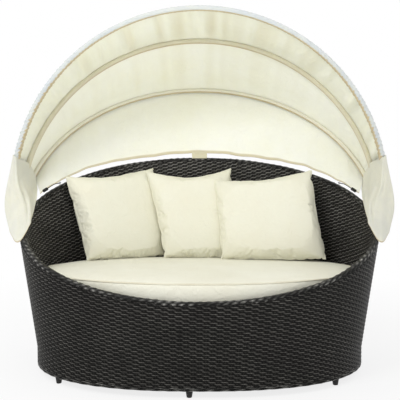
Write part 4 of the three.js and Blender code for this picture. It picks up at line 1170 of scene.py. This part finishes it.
class DAYBED_OT_flaps(Operator):
    """Hang the side flaps over the pivots and the tab in the middle of the rear hem"""
    bl_idname = "daybed.flaps"
    bl_label = "Side flaps and hem tab"

    def execute(self, context):
        self.hang_flap("left", -1)
        self.hang_flap("right", 1)
        self.make_tab()
        return {"FINISHED"}

    def hang_flap(self, side, sign):
        def place(across, down):
            points, blend = flap_surface(across if sign > 0 else 1 - across, 1 - down)
            return points * np.array([sign, 1, 1]), blend

        def seam_and_shade(_, down):
            return 1 - share_step((down - FLAP_HEM_SHARE) / FLAP_HEM_FADE)
        flap, area = cloth_grid(f"flap_{side}_cloth", 128, 84, place, FLAP_SIZE, seam_and_shade=seam_and_shade)
        ends = [(FLAP_REACH * sign, PIVOT_Y, height) for height in FLAP_BEND_HEIGHTS]
        hang(flap, "Shaded flap cloth", ("root", "rear_bow"), ends, f"{side}_flap")

    def make_tab(self):
        low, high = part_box("hem_tab")

        def place(across, down):
            turn = np.pi / 2 - (across - 0.5) * (high.x - low.x) / RIM_HALF_WIDTH
            inset = np.interp(down, TAB_SHARES, TAB_INSETS) + TAB_EASE
            rise = np.interp(down, TAB_SHARES, TAB_RISES)
            return rim_point(turn, inset, -rise), None
        tab, area = cloth_grid("hem_tab_cloth", 24, 24, place, TAB_SIZE)
        dress(tab, "Sleeve cloth", "root", ["hem_tab"])


# Finishes

def node(tree, kind, inputs=None, **settings):
    """Adds a node. An input given as a socket is linked, and any other value is set on the socket."""
    made = tree.nodes.new(kind)
    for name, value in settings.items():
        setattr(made, name, value)
    for key, value in (inputs or {}).items():
        if isinstance(value, bpy.types.NodeSocket):
            tree.links.new(value, made.inputs[key])
        else:
            made.inputs[key].default_value = value
    return made


def math_node(tree, operation, a, b=0.0):
    return node(tree, "ShaderNodeMath", {0: a, 1: b}, operation=operation).outputs[0]


def mix_colour(tree, factor, a, b, blend="MIX"):
    mixed = node(tree, "ShaderNodeMix", {0: factor, 6: a, 7: b}, data_type="RGBA", blend_type=blend)
    return mixed.outputs[2]


def full(rgb):
    return (*rgb, 1.0)


def new_group(name, inputs, outputs):
    """A shader node group with named sockets."""
    group = bpy.data.node_groups.new(name, "ShaderNodeTree")
    for label, kind, default in inputs:
        socket = group.interface.new_socket(label, in_out="INPUT", socket_type=kind)
        if default is not None:
            socket.default_value = default
    for label, kind in outputs:
        group.interface.new_socket(label, in_out="OUTPUT", socket_type=kind)
    return group, group.nodes.new("NodeGroupInput").outputs, group.nodes.new("NodeGroupOutput").inputs


def make_thread_group():
    """A plain weave of threads on a piece's own map, in metres."""
    group, given, out = new_group("Thread weave", [
        ("Map", "NodeSocketVector", None), ("Threads", "NodeSocketFloat", 900.0)],
        [("Height", "NodeSocketFloat")])
    parts = node(group, "ShaderNodeSeparateXYZ", {0: given["Map"]}).outputs
    warp = math_node(group, "SINE", math_node(group, "MULTIPLY", parts["X"], given["Threads"]))
    weft = math_node(group, "SINE", math_node(group, "MULTIPLY", parts["Y"], given["Threads"]))
    cross = math_node(group, "MULTIPLY", warp, weft)
    slub = node(group, "ShaderNodeTexNoise", {"Vector": given["Map"], "Scale": 260.0, "Detail": 2.0})
    height = math_node(group, "ADD", math_node(group, "MULTIPLY", cross, 0.5), slub.outputs[0])
    group.links.new(height, out["Height"])


def make_cloth_group():
    """Slow changes of tone and small creases in cloth."""
    group, given, out = new_group("Cloth tone", [
        ("Place", "NodeSocketVector", None), ("Colour", "NodeSocketColor", None),
        ("Shade", "NodeSocketColor", None), ("Patch size", "NodeSocketFloat", 3.0),
        ("Amount", "NodeSocketFloat", 0.6)],
        [("Colour", "NodeSocketColor"), ("Roughness", "NodeSocketFloat"), ("Creases", "NodeSocketFloat")])
    slow = node(group, "ShaderNodeTexNoise",
                {"Vector": given["Place"], "Scale": given["Patch size"], "Detail": 4.0, "Roughness": 0.6})
    speck = node(group, "ShaderNodeTexNoise", {"Vector": given["Place"], "Scale": 420.0, "Detail": 1.0})
    band = node(group, "ShaderNodeMapRange", {"Value": slow.outputs[0], "From Min": 0.38, "From Max": 0.72})
    factor = math_node(group, "MULTIPLY", band.outputs[0], given["Amount"])
    toned = mix_colour(group, factor, given["Colour"], given["Shade"])
    fleck = math_node(group, "MULTIPLY", speck.outputs[0], 0.16)
    grained = mix_colour(group, fleck, toned, given["Shade"])
    rough = node(group, "ShaderNodeMapRange", {"Value": slow.outputs[0], "To Min": 0.82, "To Max": 0.97})
    crease = node(group, "ShaderNodeTexNoise",
                  {"Vector": given["Place"], "Scale": 26.0, "Detail": 5.0, "Distortion": 1.6})
    group.links.new(grained, out["Colour"])
    group.links.new(rough.outputs[0], out["Roughness"])
    group.links.new(crease.outputs[0], out["Creases"])


def make_strand_group():
    """Resin strand: each has its own tone, a drawn grain and a changing gloss. Its colour paints light:
    painted shade in the recesses and a painted highlight on the crowns, broken into patches and flecks.
    """
    group, given, out = new_group("Strand finish", [
        ("Place", "NodeSocketVector", None), ("Strand", "NodeSocketFloat", 0.0),
        ("Proud", "NodeSocketFloat", 0.5), ("Dark", "NodeSocketColor", None),
        ("Light", "NodeSocketColor", None)],
        [("Colour", "NodeSocketColor"), ("Roughness", "NodeSocketFloat"), ("Height", "NodeSocketFloat")])
    own = node(group, "ShaderNodeTexWhiteNoise", {"W": given["Strand"]}, noise_dimensions="1D")
    patch = node(group, "ShaderNodeTexNoise", {"Vector": given["Place"], "Scale": 9.0, "Detail": 3.0})
    fleck = node(group, "ShaderNodeTexNoise", {"Vector": given["Place"], "Scale": 70.0, "Detail": 1.0})
    grain = node(group, "ShaderNodeTexNoise", {"Vector": given["Place"], "Scale": 900.0, "Detail": 2.0})
    # The painted highlight's strength: each strand's own tone and broad patches, broken up by flecks
    mixed = math_node(group, "ADD", math_node(group, "MULTIPLY", own.outputs[0], 0.5),
                      math_node(group, "MULTIPLY", patch.outputs[0], 0.7))
    lit = math_node(group, "MULTIPLY", mixed, math_node(group, "MULTIPLY", fleck.outputs[0], 2.0))
    # Only proud crowns take the painted highlight; the recesses stay dark as painted shade
    crown = math_node(group, "POWER", given["Proud"], 1.6)
    tone = math_node(group, "MULTIPLY", lit, crown)
    colour_out = mix_colour(group, tone, given["Dark"], given["Light"])
    worn = math_node(group, "ADD", math_node(group, "MULTIPLY", patch.outputs[0], 0.16),
                     math_node(group, "MULTIPLY", grain.outputs[0], 0.14))
    group.links.new(colour_out, out["Colour"])
    group.links.new(math_node(group, "ADD", worn, 0.26), out["Roughness"])
    group.links.new(grain.outputs[0], out["Height"])


def make_speckle_group():
    """Fine grain of a coat or a moulding, with dust in broad patches."""
    group, given, out = new_group("Grain and dust", [
        ("Place", "NodeSocketVector", None), ("Colour", "NodeSocketColor", None),
        ("Dust", "NodeSocketColor", (0.30, 0.28, 0.25, 1.0)), ("Amount", "NodeSocketFloat", 0.12),
        ("Grain", "NodeSocketFloat", 700.0), ("Gloss", "NodeSocketFloat", 0.45)],
        [("Colour", "NodeSocketColor"), ("Roughness", "NodeSocketFloat"), ("Height", "NodeSocketFloat")])
    grain = node(group, "ShaderNodeTexNoise", {"Vector": given["Place"], "Scale": given["Grain"]})
    patch = node(group, "ShaderNodeTexNoise", {"Vector": given["Place"], "Scale": 14.0, "Detail": 4.0})
    dust = math_node(group, "MULTIPLY", patch.outputs[0], given["Amount"])
    rough = math_node(group, "ADD", given["Gloss"], math_node(group, "MULTIPLY", patch.outputs[0], 0.15))
    group.links.new(mix_colour(group, dust, given["Colour"], given["Dust"]), out["Colour"])
    group.links.new(rough, out["Roughness"])
    group.links.new(grain.outputs[0], out["Height"])


def new_material(name):
    material = bpy.data.materials.new(name)
    material.use_nodes = True
    tree = material.node_tree
    tree.nodes.clear()
    output = node(tree, "ShaderNodeOutputMaterial")
    shader = node(tree, "ShaderNodeBsdfPrincipled")
    tree.links.new(shader.outputs[0], output.inputs[0])
    return tree, shader


def place_of(tree):
    return node(tree, "ShaderNodeTexCoord").outputs["Object"]


def use_group(tree, name, inputs):
    return node(tree, "ShaderNodeGroup", inputs, node_tree=bpy.data.node_groups[name]).outputs


def bump(tree, height, distance, strength=1.0, under=None):
    inputs = {"Height": height, "Distance": distance, "Strength": strength}
    if under is not None:
        inputs["Normal"] = under
    return node(tree, "ShaderNodeBump", inputs).outputs[0]


STRAND_RELIEF = 0.0003


def strand_material(name, dark, light, specular):
    tree, shader = new_material(name)
    strand = node(tree, "ShaderNodeAttribute", attribute_name="strand").outputs["Fac"]
    # The proud attribute gives each point its share of the painted highlight
    proud = node(tree, "ShaderNodeAttribute", attribute_name="proud").outputs["Fac"]
    finish = use_group(tree, "Strand finish", {
        "Place": place_of(tree), "Strand": strand, "Proud": proud, "Dark": full(dark),
        "Light": full(light)})
    tree.links.new(finish["Colour"], shader.inputs["Base Color"])
    tree.links.new(finish["Roughness"], shader.inputs["Roughness"])
    tree.links.new(bump(tree, finish["Height"], STRAND_RELIEF, 0.5), shader.inputs["Normal"])
    shader.inputs["Specular IOR Level"].default_value = specular


# The light that comes through a sheet of the canopy: its strength and its tint
CLOTH_LIGHT_SHARE = 0.7
CLOTH_GLOW = (1.0, 1.0, 0.85)

# The relief of the threads, and how strongly and how softly cloth shines at a slant
THREAD_RELIEF = 0.0004
SHEEN = 0.15
SHEEN_ROUGHNESS = 0.5


def cloth_material(name, tone, shade, threads, patch, amount, crease, edge):
    """Cloth: threads and soft creases. A sheet with sewn edges has its threads on its own map and lets
    light through, and a cushion's cloth has them on its place."""
    tree, shader = new_material(name)
    place = place_of(tree)
    tone_out = use_group(tree, "Cloth tone", {
        "Place": place, "Colour": full(tone), "Shade": full(shade), "Patch size": patch, "Amount": amount})
    base = tone_out["Colour"]
    if edge:
        # Each point's share of the seam's tone: the sewn edges' own tone, and painted shade in fold
        # hollows, along the rear hem and along the sleeves' seams and pleats
        seam_and_shade = node(tree, "ShaderNodeAttribute", attribute_name="seam_and_shade").outputs["Fac"]
        base = mix_colour(tree, seam_and_shade, base, full(edge))
    source = node(tree, "ShaderNodeUVMap").outputs[0] if edge else place
    threads_out = use_group(tree, "Thread weave", {"Map": source, "Threads": threads})
    soft = bump(tree, tone_out["Creases"], crease)
    tree.links.new(base, shader.inputs["Base Color"])
    tree.links.new(tone_out["Roughness"], shader.inputs["Roughness"])
    tree.links.new(bump(tree, threads_out["Height"], THREAD_RELIEF, 0.6, soft), shader.inputs["Normal"])
    if edge:
        shader.inputs["Subsurface Weight"].default_value = CLOTH_LIGHT_SHARE
        shader.inputs["Subsurface Radius"].default_value = CLOTH_GLOW
        shader.inputs["Subsurface Scale"].default_value = CLOTH_THICKNESS * 2
    shader.inputs["Sheen Weight"].default_value = SHEEN
    shader.inputs["Sheen Roughness"].default_value = SHEEN_ROUGHNESS


def hard_material(name, tone, metallic, gloss, grain, dust, depth, specular):
    tree, shader = new_material(name)
    finish = use_group(tree, "Grain and dust", {
        "Place": place_of(tree), "Colour": full(tone), "Amount": dust, "Grain": grain, "Gloss": gloss})
    tree.links.new(finish["Colour"], shader.inputs["Base Color"])
    tree.links.new(finish["Roughness"], shader.inputs["Roughness"])
    tree.links.new(bump(tree, finish["Height"], depth, 0.5), shader.inputs["Normal"])
    shader.inputs["Metallic"].default_value = metallic
    shader.inputs["Specular IOR Level"].default_value = specular


# Each strand's painted highlight tone for its proud crowns, and how strongly it mirrors
STRANDS = {
    "Rattan strand": ("strand_highlight", 0.12),
    "Rattan lining": ("lining_highlight", 0.12),
    "Rattan binding": ("binding_highlight", 0.14),
}

# Each cloth's tone and shaded tone, the rate of its threads, the size and strength of its patches, the
# depth of its creases, and the tone of its sewn edges, which also paints the shade in fold hollows, along
# the rear hem and along the sleeves' seams and pleats
CLOTHS = {
    "Canopy cloth": ("canopy", "canopy_shade", 2600.0, 2.4, 0.5, 0.004, "seam"),
    # The front panel's cloth is the canopy's, coloured darker as painted shade
    "Shaded front panel cloth": ("canopy_front_shaded", "canopy_shade", 2600.0, 2.4, 0.4, 0.004, "seam"),
    # The flaps' cloth is the canopy's, coloured far darker as painted shade
    "Shaded flap cloth": ("flap", "canopy_shade", 2600.0, 4.0, 0.7, 0.004, "seam"),
    "Front sleeve cloth": ("front_sleeve", "canopy_shade", 2600.0, 9.0, 0.3, 0.003, "seam"),
    "Rear sleeve cloth": ("sleeve_rear", "canopy_shade", 2400.0, 6.0, 0.3, 0.002, "seam"),
    "Sleeve cloth": ("sleeve", "canopy_shade", 2400.0, 6.0, 0.3, 0.002, "seam"),
    "Cushion cloth": ("cushion", "cushion_shade", 2200.0, 3.4, 0.7, 0.004, None),
    "Pillow cloth": ("pillow", "cushion_shade", 2200.0, 4.6, 0.8, 0.004, None),
    # The piping takes the cushion's darker tone as painted shade
    "Piping cloth": ("cushion_shade", "seam", 2600.0, 6.0, 0.4, 0.001, None),
}

# Each hard finish: its tone, whether it is metal, its roughness, the rate of its grain, its dust, the
# depth of its grain and how strongly it mirrors
HARD_FINISHES = {
    "Dark powder coat": ("powder", 0.0, 0.42, 1400.0, 0.10, 0.0004, 0.35),
    "Satin aluminium": ("bow", 1.0, 0.30, 500.0, 0.05, 0.0002, 0.5),
    "Black plastic": ("plastic", 0.0, 0.38, 1600.0, 0.05, 0.0003, 0.25),
    "Brushed steel": ("steel", 1.0, 0.24, 900.0, 0.04, 0.0002, 0.5),
    "Braided cord": ("cord", 0.0, 0.70, 1200.0, 0.06, 0.0008, 0.2),
    "Deck weave": ("strand", 0.0, 0.45, 320.0, 0.10, 0.0020, 0.5),
}


class DAYBED_OT_finishes(Operator):
    """Mix the finishes: strand, cloth, coat, plastic, metal and cord"""
    bl_idname = "daybed.finishes"
    bl_label = "Finishes"

    def execute(self, context):
        tones = context.scene.daybed_colours
        make_thread_group()
        make_cloth_group()
        make_strand_group()
        make_speckle_group()
        for name, (light, specular) in STRANDS.items():
            strand_material(name, tones.strand, getattr(tones, light), specular)
        for name, (tone, shade, *sizes, edge) in CLOTHS.items():
            seam_and_shade_tone = getattr(tones, edge) if edge else None
            cloth_material(name, getattr(tones, tone), getattr(tones, shade), *sizes, seam_and_shade_tone)
        for name, (tone, *sizes) in HARD_FINISHES.items():
            hard_material(name, getattr(tones, tone), *sizes)
        return {"FINISHED"}


# Which finish each carried-over solid takes, by words in its name
SOLID_FINISHES = {
    "Dark powder coat": ["base_ring", "rim_tube", "seat_ring", "upright", "base_crossbar", "seat_slat"],
    "Deck weave": ["seat_deck"],
    "Satin aluminium": ["_bow"],
    "Black plastic": ["pivot_bracket", "washer", "toggle"],
    "Brushed steel": ["pivot_bolt", "tie_ring"],
    "Braided cord": ["tie_cord"],
}


class DAYBED_OT_solids(Operator):
    """Give the frame's own solids their finishes"""
    bl_idname = "daybed.solids"
    bl_label = "Frame finishes"

    def execute(self, context):
        for name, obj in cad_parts.items():
            for finish, words in SOLID_FINISHES.items():
                if any(word in name for word in words):
                    paint(obj, finish)
        return {"FINISHED"}


# Stage, lights and camera

CAMERA_PLACE = (0.0, -3.32, 0.9907)
CAMERA_PITCH = math.radians(90 - 3.35)
CAMERA_LENS = 59.86
CAMERA_SENSOR = 36
CAMERA_SHIFT = (0.00125, -0.009)

# Past this reach the floor's shadow fades, and within it the floor is this white to the camera
FLOOR_SHADOW_REACH = 1.3
FLOOR_WHITE = 0.8
FLOOR_SIDE = 60
FLOOR_GREY = 0.93
WORLD_STRENGTH = 0.84
WHITE = (1, 1, 1, 1)

# Each lamp: where it stands, what it points at, its size, its power and its spread in degrees
LAMPS = {
    "Key": ((-2.3, -2.8, 3.4), (0, 0.0, 0.6), 1.5, 62, 180),
    "Fill": ((2.4, -3.4, 1.6), (0, 0.0, 0.7), 2.2, 3, 180),
    "Canopy fill": ((1.2, -2.9, 0.4), (-0.3, 0.1, 2.1), 1.4, 6, 60),
}


def white_to_camera(tree, plain, white, held):
    """Mixes a plain shader with white for rays that come from the camera, a gloss or a glass."""
    rays = node(tree, "ShaderNodeLightPath").outputs
    seen = math_node(tree, "MAXIMUM", rays["Is Camera Ray"], rays["Is Glossy Ray"])
    seen = math_node(tree, "MAXIMUM", seen, rays["Is Transmission Ray"])
    share = math_node(tree, "MULTIPLY", seen, held)
    return node(tree, "ShaderNodeMixShader", {0: share, 1: plain, 2: white})


class DAYBED_OT_stage(Operator):
    """Set up the camera, a pale floor and soft studio light"""
    bl_idname = "daybed.stage"
    bl_label = "Stage, light and camera"

    def execute(self, context):
        scene = context.scene
        camera = bpy.data.objects.new("Camera", bpy.data.cameras.new("Camera"))
        camera.location = CAMERA_PLACE
        camera.rotation_euler = (CAMERA_PITCH, 0, 0)
        camera.data.lens = CAMERA_LENS
        camera.data.sensor_width = CAMERA_SENSOR
        camera.data.shift_x, camera.data.shift_y = CAMERA_SHIFT
        scene.collection.objects.link(camera)
        scene.camera = camera
        scene.view_settings.view_transform = "Standard"

        floor = start("floor", bpy.ops.mesh.primitive_plane_add, size=FLOOR_SIDE)
        material = bpy.data.materials.new("Pale floor")
        material.use_nodes = True
        floor.data.materials.append(material)
        tree = material.node_tree
        tree.nodes.clear()
        plain = node(tree, "ShaderNodeBsdfDiffuse", {"Color": (*[FLOOR_GREY] * 3, 1)}).outputs[0]
        white = node(tree, "ShaderNodeEmission", {"Color": WHITE, "Strength": 1.0}).outputs[0]
        output = node(tree, "ShaderNodeOutputMaterial")
        away = node(tree, "ShaderNodeVectorMath", {0: place_of(tree)}, operation="LENGTH").outputs["Value"]
        held = node(tree, "ShaderNodeMapRange", {
            "Value": away, "From Min": FLOOR_SHADOW_REACH, "From Max": 2 * FLOOR_SHADOW_REACH,
            "To Min": FLOOR_WHITE, "To Max": 1.0}).outputs[0]
        tree.links.new(white_to_camera(tree, plain, white, held).outputs[0], output.inputs[0])

        world = bpy.data.worlds.new("Studio")
        world.use_nodes = True
        scene.world = world
        tree = world.node_tree
        tree.nodes.clear()
        plain, white = (
            node(tree, "ShaderNodeBackground", {"Color": WHITE, "Strength": strength}).outputs[0]
            for strength in (WORLD_STRENGTH, 1.0))
        output = node(tree, "ShaderNodeOutputWorld")
        tree.links.new(white_to_camera(tree, plain, white, 1.0).outputs[0], output.inputs[0])

        for name, lamp in LAMPS.items():
            self.add_light(name, *lamp)
        return {"FINISHED"}

    def add_light(self, name, place, aim, size, power, spread):
        lamp = bpy.data.lights.new(name, "AREA")
        lamp.spread = math.radians(spread)
        lamp.size = size
        lamp.energy = power
        obj = bpy.data.objects.new(name, lamp)
        obj.location = place
        obj.rotation_euler = (Vector(aim) - Vector(place)).to_track_quat("-Z", "Y").to_euler()
        bpy.context.scene.collection.objects.link(obj)


class DAYBED_PT_pieces(Panel):
    bl_idname = "DAYBED_PT_pieces"
    bl_label = "Daybed"
    bl_space_type = "VIEW_3D"
    bl_region_type = "UI"
    bl_category = "Daybed"

    def draw(self, context):
        for kind in OPERATORS:
            self.layout.operator(kind.bl_idname)
        for name in SETTINGS:
            settings = getattr(context.scene, name)
            for label in settings.bl_rna.properties.keys():
                if label not in ("rna_type", "name"):
                    self.layout.prop(settings, label)


OPERATORS = [
    DAYBED_OT_stage, DAYBED_OT_finishes, DAYBED_OT_solids, DAYBED_OT_weave, DAYBED_OT_rims, DAYBED_OT_feet,
    DAYBED_OT_seat_cushion, DAYBED_OT_pillows, DAYBED_OT_canopy, DAYBED_OT_sleeves, DAYBED_OT_flaps,
]
SETTINGS = {
    "daybed_weave": WeaveSettings,
    "daybed_cushions": CushionSettings,
    "daybed_canopy": CanopySettings,
    "daybed_colours": ColourSettings,
}


def register():
    for kind in [*SETTINGS.values(), *OPERATORS, DAYBED_PT_pieces]:
        bpy.utils.register_class(kind)
    for name, kind in SETTINGS.items():
        setattr(bpy.types.Scene, name, PointerProperty(type=kind))


def unregister():
    for name in SETTINGS:
        delattr(bpy.types.Scene, name)
    for kind in [DAYBED_PT_pieces, *reversed(OPERATORS), *SETTINGS.values()]:
        bpy.utils.unregister_class(kind)


def main():
    register()
    bpy.ops.daybed.stage()
    bpy.ops.daybed.finishes()
    bpy.ops.daybed.solids()
    bpy.ops.daybed.weave()
    bpy.ops.daybed.rims()
    bpy.ops.daybed.feet()
    bpy.ops.daybed.seat_cushion()
    bpy.ops.daybed.pillows()
    bpy.ops.daybed.canopy()
    bpy.ops.daybed.sleeves()
    bpy.ops.daybed.flaps()


if __name__ == "__main__":
    main()
